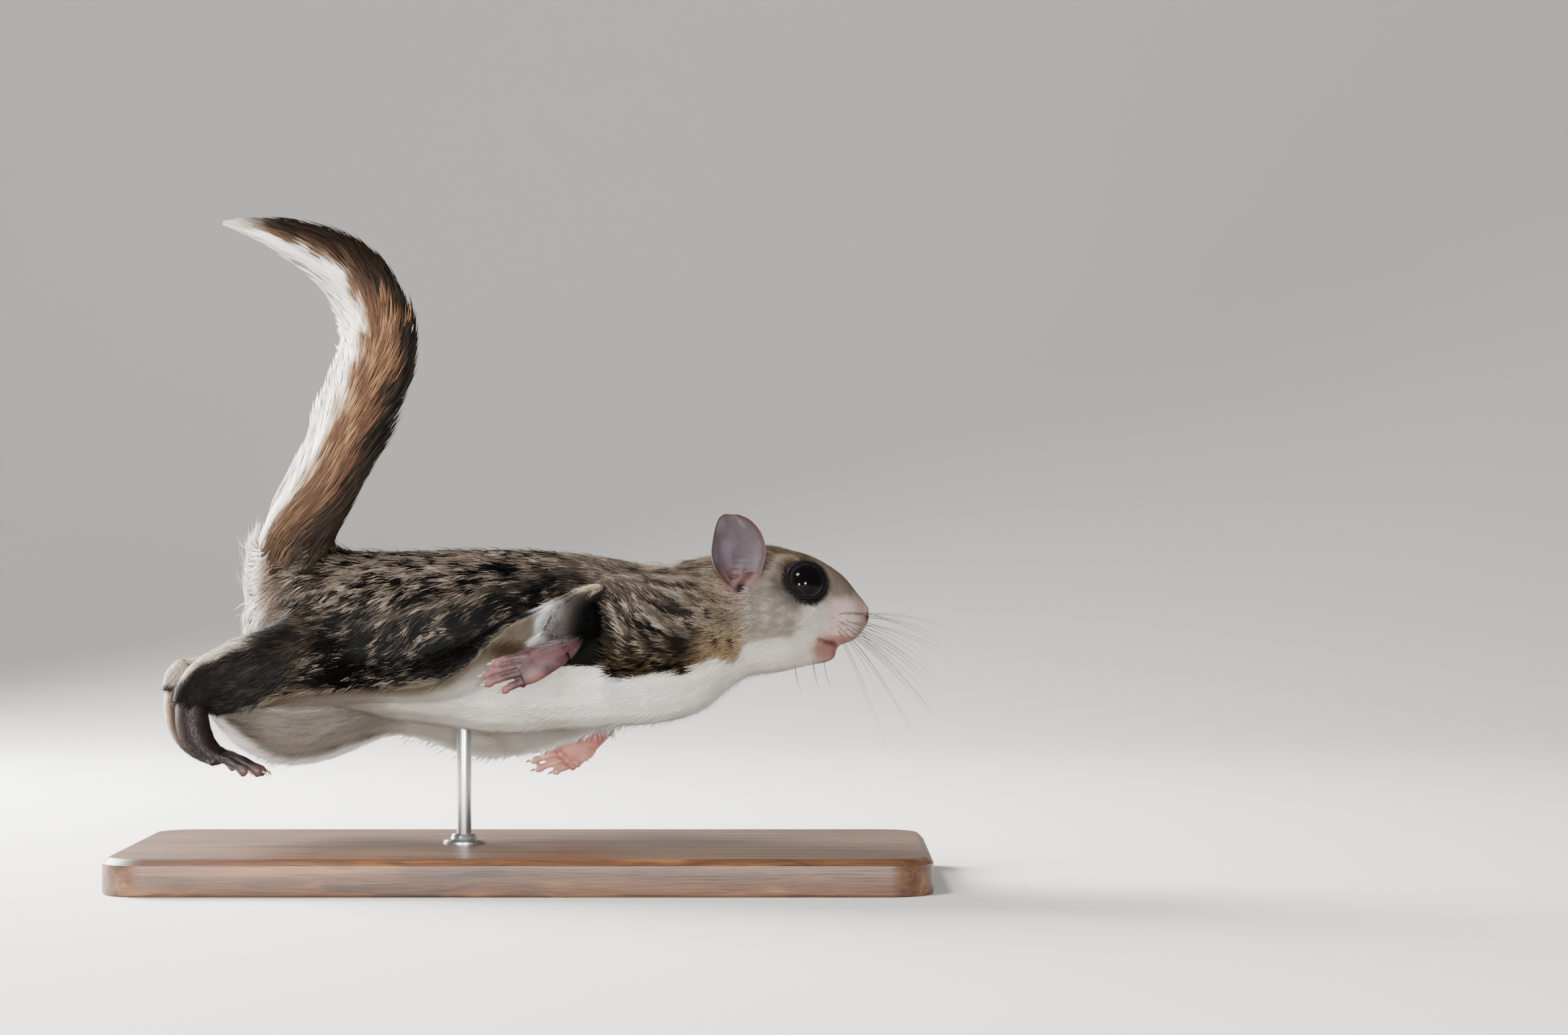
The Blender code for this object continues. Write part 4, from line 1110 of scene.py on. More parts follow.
    def face(self, coat: Layers, points: Array) -> None:
        """Grey-tan crown, paler cheeks, black round the eyes, pink muzzle, red lip, bare ear foot;
        painted shade in the ear's fold and opening, the nostrils and the mouth's seam.

        Args:
            coat: Their colours so far.
            points: The places in mm.
        """
        lateral, height = head_place(points)
        x = points[:, 0]
        profile = np.stack([x, height], axis=1)
        face = ramp(x, 45, 51)
        fine = noise(points, 0.9, 17)
        upper = ramp(self.above_split(points) + (fine - 0.5) * 2, -4.0, 5.5)
        coat.lay("#d3cbbf", face * (1 - upper) * 0.6)
        coat.lay("#948a80", face * upper)
        coat.lay("#b9b1a7", face * upper * ramp(noise(points, (1.6, 1.6, 0.8), 23), 0.5, 0.7) * 0.5)
        coat.lay("#857a6f", face * upper * ramp(x, 57, 50) * ramp(height, 57, 62) * 0.7)
        crown = face * ramp(height, 63, 68)
        coat.lay("#806d5a", crown)
        coat.lay("#a4917b", crown * ramp(fine, 0.5, 0.75) * 0.8)
        bridge = ramp(x, 62, 67) * ramp(height, 61, 64)
        coat.lay("#998a7c", bridge)
        coat.lay("#c6c0ba", ramp(np.hypot(x - 63.5, height - 57.0), 5.5, 2.5) * 0.8)
        muzzle = ramp(x, 65.0, 68.0) * ramp(height, 62.5, 59.8)
        coat.lay("#d3b9b2", muzzle)
        pores = ramp(noise(points, 0.55, 20), 0.66, 0.76)
        pores *= ramp(np.hypot(x - 69, height - 56), 3.4, 2.4)
        coat.lay("#7d5450", muzzle * pores * 0.6)
        for side in Side:
            off, out, _, reach = from_eye(points, side)
            here = ramp(out, -3, 0)
            above = ramp(off @ np.array([-0.6, 0, 0.8]), 4.5, 6.5)
            coat.lay("#b5aa9c", here * ramp(np.abs(reach - 7.2), 1.6, 0.5) * above * 0.7)
            behind = ramp(-off[:, 0], -1.0, 4.0) * ramp(np.abs(off[:, 2] + 1.5), 4.0, 1.5)
            coat.lay("#5d534c", here * ramp(reach, 9.0, 6.0) * behind * 0.7)
            coat.lay("#120e0d", here * ramp(reach, 5.3, 4.6))
        concha = np.where(np.abs(lateral) > CONCHA_OUT, along_line(profile, CONCHA), np.inf)
        coat.lay("#a5837e", ramp(concha, 3.2, 2.2))
        # Browner along the fold's crease and black at the ear's opening: painted shade
        coat.lay("#7a5049", ramp(concha, 1.2, 0.4) * 0.8)
        hole = np.hypot(x - EAR_ROOT[0], height - EAR_ROOT[2] + 0.9)
        coat.lay("#1a0f0e", ramp(hole, 1.6, 0.6) * ramp(concha, 4.0, 3.0))
        coat.lay("#c4a49b", ramp(x, 71.0, 73.5) * 0.7)
        coat.lay("#8f655e", ramp(np.hypot(x - 75.4, height - 57.3), 2.2, 0.9) * 0.8)
        lip = np.hypot((x - 65.9) * 0.9, height - 50.4)
        lip += (noise(points, 0.8, 24) - 0.5) * 1.2
        coat.lay("#c7a297", ramp(lip, 4.6, 2.0) * 0.7)
        coat.lay("#b67d74", ramp(lip, 3.2, 1.2) * 0.85)
        coat.lay("#b9837b", ramp(x, 65.5, 67.5) * ramp(np.abs(height - 52.6), 1.0, 0.4) * 0.8)
        # Dark line along the mouth: painted shade in its seam
        coat.lay("#6f3f3a", ramp(along_line(profile, MOUTH_LINE), 0.55, 0.2) * 0.65)
        # Black at each nostril: painted shade in its opening, which the skin doesn't model
        at_x, out, at_height = NOSTRIL
        for side in Side:
            nostril = distance(points, [on_head(at_x, side.value * out, at_height)])
            coat.lay("#20110f", ramp(nostril, 1.0, 0.55) * 0.95)

    def bare(self, points: Array) -> Array:
        """Tells which places grow no hair: lids, nose tip, ears' bare folds, the tail's foot.

        Args:
            points: Places in mm.

        Returns:
            True where nothing grows.
        """
        x = points[:, 0]
        none = distance(points, [NOSE_TIP]) < self.nose_bare
        for side in Side:
            _, out, _, reach = from_eye(points, side)
            none |= (reach < self.eye_rim) & (out > -2)
        lateral, height = head_place(points)
        concha = along_line(np.stack([x, height], axis=1), CONCHA)
        none |= (concha < self.concha_bare) & (np.abs(lateral) > CONCHA_OUT)
        on_tail = np.hypot(x - TAIL_ROWS[1][0], points[:, 1]) < self.tail_join
        return none | (on_tail & (points[:, 2] > self.tail_foot))


@dataclass(frozen=True)
class Lie:
    """The way that the coat lies, as guides that each pull the hairs near them.

    A guide is its place, its direction and its reach. Body guides have x, the distance to
    either side of the banked body, and the height over its axis. The others are world places.
    """

    pull_back: float = 0.02  # a slight pull to the rear everywhere
    body_guides: Rows = (
        (73, 1.5, 3, -0.5, 0.8, 0.3, 3.0), (70, 0, 9, -0.75, 0, 0.65, 5.0),
        (57, 0, 19, -1, 0, 0.1, 9.0), (44, 0, 16, -1, 0, 0, 9.0), (62, 10, 1, -1, 0.2, -0.15, 6.0),
        (69, 6, 1, -0.9, 0.4, -0.1, 4.0), (60, 6, -7, -1, 0.1, -0.35, 6.0),
        (66, 0, -6, -1, 0, -0.25, 5.0), (50, 0, -12, -1, 0, -0.05, 9.0),
        (44, 14, 0, -1, 0, -0.15, 8.0), (34, 18, 3, -1, 0.1, 0.15, 7.0),
        (24, 22, 0, -0.6, 0, 0.8, 7.0), (30, 19, -7, -0.9, 0, 0.3, 6.0),
        (25, 8, 16, -1, 0.1, -0.05, 9.0), (0, 0, 17, -1, 0, 0, 12.0), (-25, 0, 17, -1, 0, 0, 12.0),
        (-45, 0, 15, -1, 0, 0, 10.0), (4, 18, 9, -1, 0.1, -0.45, 8.0),
        (-14, 19, 8, -1, 0.15, -0.3, 8.0), (-30, 19, 6, -0.9, 0.2, -0.55, 8.0),
        (-8, 25, 0, -0.7, 0.4, -0.75, 6.0), (-26, 22, -3, -0.5, 0.3, -0.85, 6.0),
        (10, 0, -20, -1, 0, 0, 12.0), (-15, 0, -20, -1, 0, 0, 12.0), (-40, 0, -18, -1, 0, 0, 10.0),
        (-52, 10, 6, -0.9, 0.2, -0.4, 8.0), (-40, 0, 19, -0.8, 0, 0.6, 5.0),
        (-50, 0, 20, 0.1, 0, 1, 6.0), (-60, 0, 12, -0.4, 0, 0.9, 6.0),
    )
    limb_guides: Rows = (
        (-50, -21, 48, -0.9, -0.1, -0.35, 7.0), (-62, -18, 45, -0.95, 0, -0.25, 5.0),
        (-71, -15, 40, -0.15, 0, -1, 4.5), (-50, 20, 38, -0.9, 0.2, -0.1, 7.0),
        (-64, 15, 39, -0.9, -0.3, 0.2, 5.0), (-77, 7, 41, -0.15, 0, -1, 4.5),
        (15, -23, 60, -0.6, -0.4, -0.5, 4.5), (10, -31, 54, -0.6, -0.4, -0.6, 5.0),
        (19, 25, 43, -0.2, 0.5, -0.8, 5.0), (16, 32, 34, -0.5, 0.3, -0.8, 4.5),
        (9.5, -28.5, 64, -0.6, -0.6, 0.35, 3.0), (-10, -31, 50, -0.75, -0.45, -0.5, 4.5),
        (-34, -26, 43, -0.7, -0.6, -0.4, 5.0), (-50, -27, 41, -0.8, -0.3, -0.5, 5.0),
        (14, 31, 32, -0.5, 0.6, -0.6, 4.0), (-2, 30, 27, -0.6, 0.6, -0.6, 5.0),
        (-16, 29, 27, -0.7, 0.5, -0.5, 5.0), (-32, 24, 31, -0.75, 0.5, -0.45, 5.0),
        (-54, 28, 24, -0.8, 0.35, -0.5, 6.0), (-67, 18, 30, -0.7, 0, 0.6, 5.0),
    )

    def guides(self) -> Array:
        """All guides in world places and directions."""
        side = np.array([0, -math.cos(BODY_BANK), math.sin(BODY_BANK)])
        up = np.array([0, math.sin(BODY_BANK), math.cos(BODY_BANK)])
        rows = [list(g) for g in self.limb_guides]
        for x, lateral, rise, ahead, out, lift, reach in self.body_guides:
            for turn in (1, -1) if lateral else (1,):
                place = np.array([x, 0, BODY_AXIS_Z]) + side * lateral * turn + up * rise
                way = np.array([ahead, 0, 0]) + side * out * turn + up * lift
                rows.append([*place, *way, reach])
        return np.array(rows)

    def along(self, points: Array, normals: Array) -> Array:
        """Direction of the coat along the skin.

        Args:
            points: Places in mm.
            normals: Outward directions there.

        Returns:
            Directions of length 1, square to the normals.
        """
        way = np.tile([-self.pull_back, 0, 0], (len(points), 1))
        for guide in self.guides():
            off = points - guide[:3]
            pull = np.exp(-np.sum(off * off, axis=1) / guide[6] ** 2)
            way += pull[:, None] * unit(guide[3:6])
        for side in Side:
            _, _, across, reach = from_eye(points, side)
            way += unit(across) * (2.0 * ramp(reach, 7.0, 4.4))[:, None]
        way -= normals * np.sum(way * normals, axis=1, keepdims=True)
        return unit(way)


# Tufts


@dataclass
class Tufts:
    """Many tufts of hair, each a closed spike of three sides through a few stations."""

    stations: list[Array]  # from root to tip: places in mm, one tuft to a row
    flat: Array  # direction of each tuft's width
    wide: list[Array]  # half width at each station but the tip
    thick: list[Array]  # height over the station's place
    colours: list[Array]  # linear colour at each station, tip included
    patches: Array  # each root's place on the unwrap
    outward: Array  # which way the skin faces under each tuft
    softness: float = 0.6  # how far a hair is shaded as the coat round it, not as a spike
    leans: Place = (0.9, 0.0, -0.9)  # sideways turn of the shading at a station's three corners
    crown: float = 0.6  # upward turn of the shading

    def piece(self, name: str, rows: slice) -> Piece:
        """Builds some of the tufts as one mesh.

        Args:
            name: Name of the piece.
            rows: Which tufts it has.

        Returns:
            The object.
        """
        rings = len(self.stations) - 1
        per = 3 * rings + 1
        stations = [s[rows] for s in self.stations]
        count = len(stations[0])
        flat = self.flat[rows]
        points = np.empty((count, per, 3))
        colours = np.ones((count, per, 4), np.float32)
        spots, facing = np.empty((count, per, 2)), np.empty((count, per, 3))
        for k in range(rings):
            along = unit(stations[k + 1] - stations[max(k - 1, 0)])
            side = unit(flat - along * np.sum(flat * along, axis=1, keepdims=True))
            over = np.cross(along, side)
            wide = self.wide[k][rows][:, None]
            thick = self.thick[k][rows][:, None]
            points[:, 3 * k] = stations[k] + side * wide
            points[:, 3 * k + 1] = stations[k] + over * thick
            points[:, 3 * k + 2] = stations[k] - side * wide
            for c, lean in enumerate(self.leans):
                facing[:, 3 * k + c] = side * lean + over * self.crown
                spots[:, 3 * k + c] = (c - 1, 2 * k / rings - 1)
            colours[:, 3 * k : 3 * k + 3, :3] = self.colours[k][rows][:, None]
        points[:, -1], facing[:, -1] = stations[-1], over
        colours[:, -1, :3] = self.colours[-1][rows]
        spots[:, -1] = (0, 1)
        spots = self.patches[rows][:, None] + spots * TUFT_PATCH
        faces = [(0, 2, 1)]
        for k in range(rings - 1):
            a, b = 3 * k, 3 * k + 3
            faces += [(a + i, a + (i + 1) % 3, b + (i + 1) % 3, b + i) for i in range(3)]
        last = 3 * (rings - 1)
        faces += [(last + i, last + (i + 1) % 3, per - 1) for i in range(3)]
        facing = unit(facing) * (1 - self.softness) + self.outward[rows][:, None] * self.softness
        tufts = self.mesh_of(name, points, faces, colours, spots)
        normals = unit(facing).reshape(-1, 3).astype(np.float32)
        tufts.data.normals_split_custom_set_from_vertices(normals)
        return tufts

    @staticmethod
    def mesh_of(
        name: str, points: Array, faces: Sequence[tuple[int, ...]], colours: Array, spots: Array
    ) -> Piece:
        """Builds one mesh from arrays.

        Args:
            name: Name of the piece.
            points: Vertices in mm: tuft, vertex, axis.
            faces: Faces of one tuft.
            colours: Linear colour of each vertex.
            spots: Place of each vertex on the unwrap.

        Returns:
            The object.
        """
        count, per, _ = points.shape
        corners = np.concatenate([np.array(f) for f in faces])
        sizes = np.array([len(f) for f in faces])
        loops = (np.arange(count)[:, None] * per + corners).ravel()
        starts = np.concatenate([[0], np.cumsum(np.tile(sizes, count))[:-1]])
        mesh = bpy.data.meshes.new(name)
        mesh.vertices.add(count * per)
        mesh.loops.add(len(loops))
        mesh.polygons.add(len(starts))
        mesh.vertices.foreach_set("co", (points * MM).astype(np.float32).ravel())
        mesh.loops.foreach_set("vertex_index", loops.astype(np.int32))
        mesh.polygons.foreach_set("loop_start", starts.astype(np.int32))
        mesh.update(calc_edges=True)
        mesh.shade_smooth()
        layer = mesh.uv_layers.new(name=BAKE_MAP)
        layer.uv.foreach_set("vector", spots.reshape(-1, 2)[loops].astype(np.float32).ravel())
        attribute = mesh.color_attributes.new(COAT_COLOUR, "FLOAT_COLOR", "POINT")
        attribute.data.foreach_set("color", colours.astype(np.float32).ravel())
        return linked(name, mesh)

    def pieces(self, name: str) -> list[Piece]:
        """Builds all the tufts, as many pieces as keep each under MOST_TRIANGLES.

        Args:
            name: Start of the pieces' names.

        Returns:
            The pieces.
        """
        count = len(self.flat)
        sides = 6 * (len(self.stations) - 2)
        triangles = 1 + sides + 3  # the root's face, the sides between stations and the tip
        parts = math.ceil(count * triangles / MOST_TRIANGLES)
        edges = np.linspace(0, count, parts + 1).astype(int)
        return [
            self.piece(f"{name}_{k + 1}", slice(a, b))
            for k, (a, b) in enumerate(zip(edges, edges[1:]))
        ]


@dataclass
class Roots:
    """Places on the skin where tufts grow."""

    points: Array
    normals: Array
    patches: Array

    def only(self, chosen: Array) -> "Roots":
        """The chosen ones."""
        return Roots(self.points[chosen], self.normals[chosen], self.patches[chosen])


class Surface:
    """A skin's triangles, ready for tufts to be spread over it."""

    likeness: float = 0.45  # a tip settles only where the skin faces much as at its root
    overhang: float = 1.2  # mm past the skin's edge from which a tip is left as it hangs

    def __init__(self, obj: Piece) -> None:
        """Reads a finished mesh that has its unwrap.

        Args:
            obj: The skin.
        """
        obj.data.calc_loop_triangles()
        triangles = obj.data.loop_triangles
        self.points, self.normals = vertices_of(obj), normals_of(obj)
        self.corners = read(triangles, "vertices", 3, np.int32)
        spots = read(obj.data.uv_layers[BAKE_MAP].uv, "vector", 2)
        self.spots = spots[read(triangles, "loops", 3, np.int32)]
        a, b, c = (self.points[self.corners[:, k]] for k in range(3))
        self.areas = np.linalg.norm(np.cross(b - a, c - a), axis=1) / 2
        self.middles = (a + b + c) / 3
        self.tree = KDTree(len(self.points))
        for i, point in enumerate(self.points):
            self.tree.insert(point, i)
        self.tree.balance()

    def spread(self, density: Array, rng: Rng) -> Roots:
        """Spreads places evenly over the surface.

        Args:
            density: Places to a square mm, for each triangle.
            rng: Source of chance.

        Returns:
            The places, ordered from the tail to the nose.
        """
        total = np.concatenate([[0.0], np.cumsum(self.areas * density)])
        count = int(total[-1])
        marks = (np.arange(count) + rng.random(count)) * total[-1] / count
        face = np.clip(np.searchsorted(total, marks) - 1, 0, len(self.areas) - 1)
        u, v = rng.random((2, count))
        over = u + v > 1
        u[over], v[over] = 1 - u[over], 1 - v[over]
        shares = np.stack([1 - u - v, u, v], axis=1)[:, :, None]
        corners = self.corners[face]
        points = np.sum(self.points[corners] * shares, axis=1)
        normals = unit(np.sum(self.normals[corners] * shares, axis=1))
        patches = np.sum(self.spots[face] * shares, axis=1)
        order = np.argsort(points[:, 0])
        return Roots(points[order], normals[order], patches[order])

    def settle(self, tips: Array, normals: Array, rise: Array) -> Array:
        """Lifts or lowers tips to a height over the skin that lies under them.

        Args:
            tips: Tips in mm.
            normals: Outward direction at each tuft's root.
            rise: Height that each tip is to have.

        Returns:
            The tips where they belong; one that hangs past an edge stays.
        """
        nearest = np.array([self.tree.find(tip)[1] for tip in tips])
        outward = self.normals[nearest]
        height = np.sum((tips - self.points[nearest]) * outward, axis=1)
        alike = np.sum(outward * normals, axis=1) > self.likeness
        sideways = tips - self.points[nearest] - outward * height[:, None]
        alike &= np.linalg.norm(sideways, axis=1) < self.overhang
        return tips + outward * np.where(alike, rise - height, 0)[:, None]


# The animal


@dataclass
class Flesh:
    """All flesh and its short coat: one skin from nose to ankles, and tufts over it."""

    marks: Markings
    lie: Lie
    merging: float = 0.005  # mm between corners that are one
    closing: float = 0.3  # mm that each part is swollen, to close the gaps between them
    voxel: float = 0.55
    smoothing: int = 7
    most_share: float = 0.3  # of the flesh's thickness that the coat may take
    most_thick: float = 50.0  # where no far side is found
    skip: float = 0.05  # mm under the skin where the search for the far side starts
    skin_triangles: int = 120_000
    coverage: float = 2.6  # layers of hair over the skin
    tuft_cover: float = 0.55  # of a tuft's length times its width, the skin that it hides
    face_x: float = 50.0  # the coat is short forward of here
    fine_x: float = 54.0  # the skin keeps its finest triangles forward of here
    root_tone_and_shade: float = 0.7  # of the coat's lightness, on the skin under it: the roots' darker tone and painted shade between the tufts
    sunk: float = 0.15  # mm that a tuft's root lies under the skin
    guard_from: float = 0.94  # chance past which a hair is a long dark guard hair
    fringe_from: float = 0.86  # as that, for the longer hairs of throat and chest
    lid_reach: float = 8.5  # mm from an eye's axis to where its lids begin
    lid_draw: float = 1.15  # mm that the socket's rim is drawn in
    lid_wall: float = 0.12  # mm that the lids stand off the eyeball
    # Coat along the body: x, then length, height and width of a tuft, in mm
    upper_sizes: Rows = (
        (-78.0, 1.6, 0.45, 0.18), (-66.0, 2.4, 0.7, 0.22), (-56.0, 4.2, 1.2, 0.30),
        (-20.0, 4.3, 1.2, 0.31), (20.0, 3.9, 1.1, 0.28), (42.0, 2.9, 0.85, 0.23),
        (50.0, 1.8, 0.45, 0.16), (60.0, 1.3, 0.32, 0.125), (70.0, 0.9, 0.22, 0.10),
    )
    under_sizes: Rows = (
        (-78.0, 1.6, 0.45, 0.18), (-60.0, 2.6, 0.7, 0.21), (-20.0, 2.9, 0.7, 0.21),
        (30.0, 3.0, 0.75, 0.21), (46.0, 2.2, 0.6, 0.18), (58.0, 1.4, 0.34, 0.13),
        (70.0, 0.9, 0.22, 0.10),
    )
    surface: Surface = field(init=False)

    def size_at(self, x: Array, column: int) -> tuple[Array, Array]:
        """One column of the coat's sizes at places along the body, for upper and under coat."""
        upper, under = (np.array(rows).T for rows in (self.upper_sizes, self.under_sizes))
        return np.interp(x, upper[0], upper[column]), np.interp(x, under[0], under[column])

    def depth(self, points: Array) -> Array:
        """Depth of the coat at places on the body."""
        above = ramp(self.marks.above_split(points), -1, 1)
        upper, under = self.size_at(points[:, 0], 2)
        return upper * above + under * (1 - above)

    def build_skin(self, nodes: dict[str, Piece]) -> Piece:
        """Melts copies of the flesh nodes into one skin, as deep as the coat is thick.

        Args:
            nodes: The CAD nodes by name.

        Returns:
            The skin, unwrapped and painted.
        """
        copies = []
        for name in FLESH:
            copy = nodes[name].copy()
            copy.data = nodes[name].data.copy()
            copy.parent = None
            bpy.context.scene.collection.objects.link(copy)
            copies.append(copy)
        skin = joined("skin", copies)
        edit_all(
            skin,
            lambda: bpy.ops.mesh.remove_doubles(threshold=self.merging * MM),
            lambda: bpy.ops.transform.shrink_fatten(value=self.closing * MM),
        )
        apply_modifier(skin, "REMESH", mode="VOXEL", voxel_size=self.voxel * MM)
        apply_modifier(skin, "SMOOTH", factor=0.5, iterations=self.smoothing)
        self.sink(skin)
        keep = skin.vertex_groups.new(name="coarse")
        for i, x in enumerate(vertices_of(skin)[:, 0]):
            keep.add([i], 0.1 if x > self.fine_x else 1.0, "REPLACE")
        share = self.skin_triangles / (2 * len(skin.data.polygons))
        apply_modifier(skin, "DECIMATE", ratio=min(1.0, share), vertex_group="coarse")
        skin.vertex_groups.clear()
        apply_modifier(skin, "SMOOTH", factor=0.5, iterations=1)
        smooth_shaded(skin)
        unwrap(skin)
        # The skin takes the coat's colours, darkened: the roots' own tone, and painted shade deep
        # between the tufts
        paint(skin, self.marks.tips(vertices_of(skin)) * self.root_tone_and_shade)
        return skin

    def sink(self, skin: Piece) -> None:
        """Moves the skin in by the coat's depth, less where the flesh is thin.

        Args:
            skin: The melted skin.
        """
        points, normals = vertices_of(skin), normals_of(skin)
        tree = BVHTree.FromObject(skin, bpy.context.evaluated_depsgraph_get())
        thickness = np.full(len(points), self.most_thick)
        for i, (point, normal) in enumerate(zip(points, normals)):
            start = Vector((point - normal * self.skip) * MM)
            distance = tree.ray_cast(start, Vector(-normal))[3]
            if distance:
                thickness[i] = distance / MM
        depth = np.minimum(self.depth(points), self.most_share * thickness)
        points = points - normals * (self.closing + depth)[:, None]
        for side in Side:
            points = self.draw_lids(points, side)
        move_vertices(skin, points)

    def draw_lids(self, points: Array, side: Side) -> Array:
        """Draws the rim of an eye's socket in over the eyeball, as lids lie on it.

        Args:
            points: The skin's vertices in mm.
            side: Which eye.

        Returns:
            The vertices with the rim drawn in.
        """
        _, rise, across, reach = from_eye(points, side)
        share = ramp(reach, self.lid_reach, EYE_RADIUS + 0.2) * ramp(rise, -1.5, 0.5)
        nearer = reach - self.lid_draw * share
        ball = np.sqrt(np.maximum((EYE_RADIUS + self.lid_wall) ** 2 - nearer**2, 0))
        over = np.maximum(rise, ball * ramp(nearer, 5.6, 4.9))
        lifted = np.where((share > 0) & (rise > 0), over, rise)
        moved = across * (nearer / np.maximum(reach, 1e-6))[:, None]
        return eye_centre(side) + (moved + lifted[:, None] * eye_axis(side))

    def build_coat(self, rng: Rng) -> list[Piece]:
        """Spreads the coat over the skin.

        Args:
            rng: Source of chance.

        Returns:
            The coat's pieces.
        """
        above = self.marks.above_split(self.surface.middles) > 0
        length, _, wide = self.sizes(self.surface.middles, above)
        density = self.coverage / (self.tuft_cover * length * wide)
        roots = self.surface.spread(density, rng)
        points = roots.points
        grows = ~self.marks.bare(points)
        shaggy = (self.marks.above_split(points) > 0) & (points[:, 0] < self.face_x)
        pieces = self.grow(roots.only(grows & shaggy), True, rng).pieces("coat_back")
        return pieces + self.grow(roots.only(grows & ~shaggy), False, rng).pieces("coat_body")

    def grow(self, roots: Roots, bowed: bool, rng: Rng) -> Tufts:
        """Grows a tuft from each root.

        Args:
            roots: The roots.
            bowed: Whether the hairs are long enough to bow; short ones are straight.
            rng: Source of chance.

        Returns:
            The tufts.
        """
        points, normals = roots.points, roots.normals
        count = len(points)
        above = self.marks.above_split(points) > 0
        length, rise, wide = self.sizes(points, above)
        chance = rng.random((6, count))
        stray = 1 + 0.55 * (chance[5] > self.guard_from)
        length = length * (0.75 + 0.5 * chance[0]) * stray
        rise = rise * (0.55 + 0.6 * chance[1]) * stray
        wide = wide * (0.75 + 0.5 * chance[2]) / stray
        if not bowed:
            fringe = ramp(points[:, 0], 60, 50) * ramp(points[:, 0], -10, 10)
            rise = rise * (1 + 1.3 * fringe * (chance[5] > self.fringe_from))
        way = self.lie.along(points, normals)
        side = np.cross(normals, way)
        swing = (chance[3] - 0.5) * 0.5 + (noise(points, 4.0, 21) - 0.5) * 0.7
        way = unit(way + side * swing[:, None])
        reach = np.sqrt(np.maximum(length**2 - rise**2, 0.01))[:, None]
        root = points - normals * self.sunk
        tip = self.surface.settle(points + way * reach + normals * rise[:, None], normals, rise)
        flat = np.cross(normals, way)
        tips = self.marks.tips(points)
        if not bowed:
            tips *= (0.9 + 0.2 * chance[4])[:, None]
            return Tufts([root, tip], flat, [wide * 0.5], [wide * 0.4], [tips * 0.8, tips],
                         roots.patches, normals)
        middle = (points + tip) / 2 + normals * (rise * 0.32)[:, None]
        tips *= (0.8 + 0.4 * chance[4])[:, None]
        tips[chance[5] > self.guard_from] *= 0.5
        return Tufts(
            [root, middle, tip], flat, [wide * 0.42, wide * 0.5], [wide * 0.35, wide * 0.38],
            [tips * 0.5, tips * 0.85, tips * 1.08], roots.patches, normals,
        )

    def sizes(self, points: Array, above: Array) -> tuple[Array, ...]:
        """Length, height and width of the tufts at places on the body.

        Args:
            points: The places in mm.
            above: Which of them lie in the upper coat.

        Returns:
            The three sizes in mm.
        """
        x = points[:, 0]
        halo = ramp(x, -55, -60) * ramp(points[:, 2], 51, 57)
        arm = ramp(points[:, 1], -14, -17) * ramp(x, 19.5, 18) * ramp(x, -2, 3)
        sizes = []
        for column, more in ((1, 2.6), (2, 1.7), (3, 0.05)):
            size = np.where(above, *self.size_at(x, column))
            sizes.append(size * (1 - 0.42 * arm) + more * halo)
        return tuple(sizes)

    def build(self, nodes: dict[str, Piece], rng: Rng) -> None:
        """Builds and dresses the skin and its coat.

        Args:
            nodes: The CAD nodes by name.
            rng: Source of chance.
        """
        skin = self.build_skin(nodes)
        self.surface = Surface(skin)
        present(skin, HideFinish().material(), Slot.COAT, *FLESH)
        fur = FurFinish("keratin_fur").material()
        for piece in self.build_coat(rng):
            present(piece, fur, Slot.COAT)


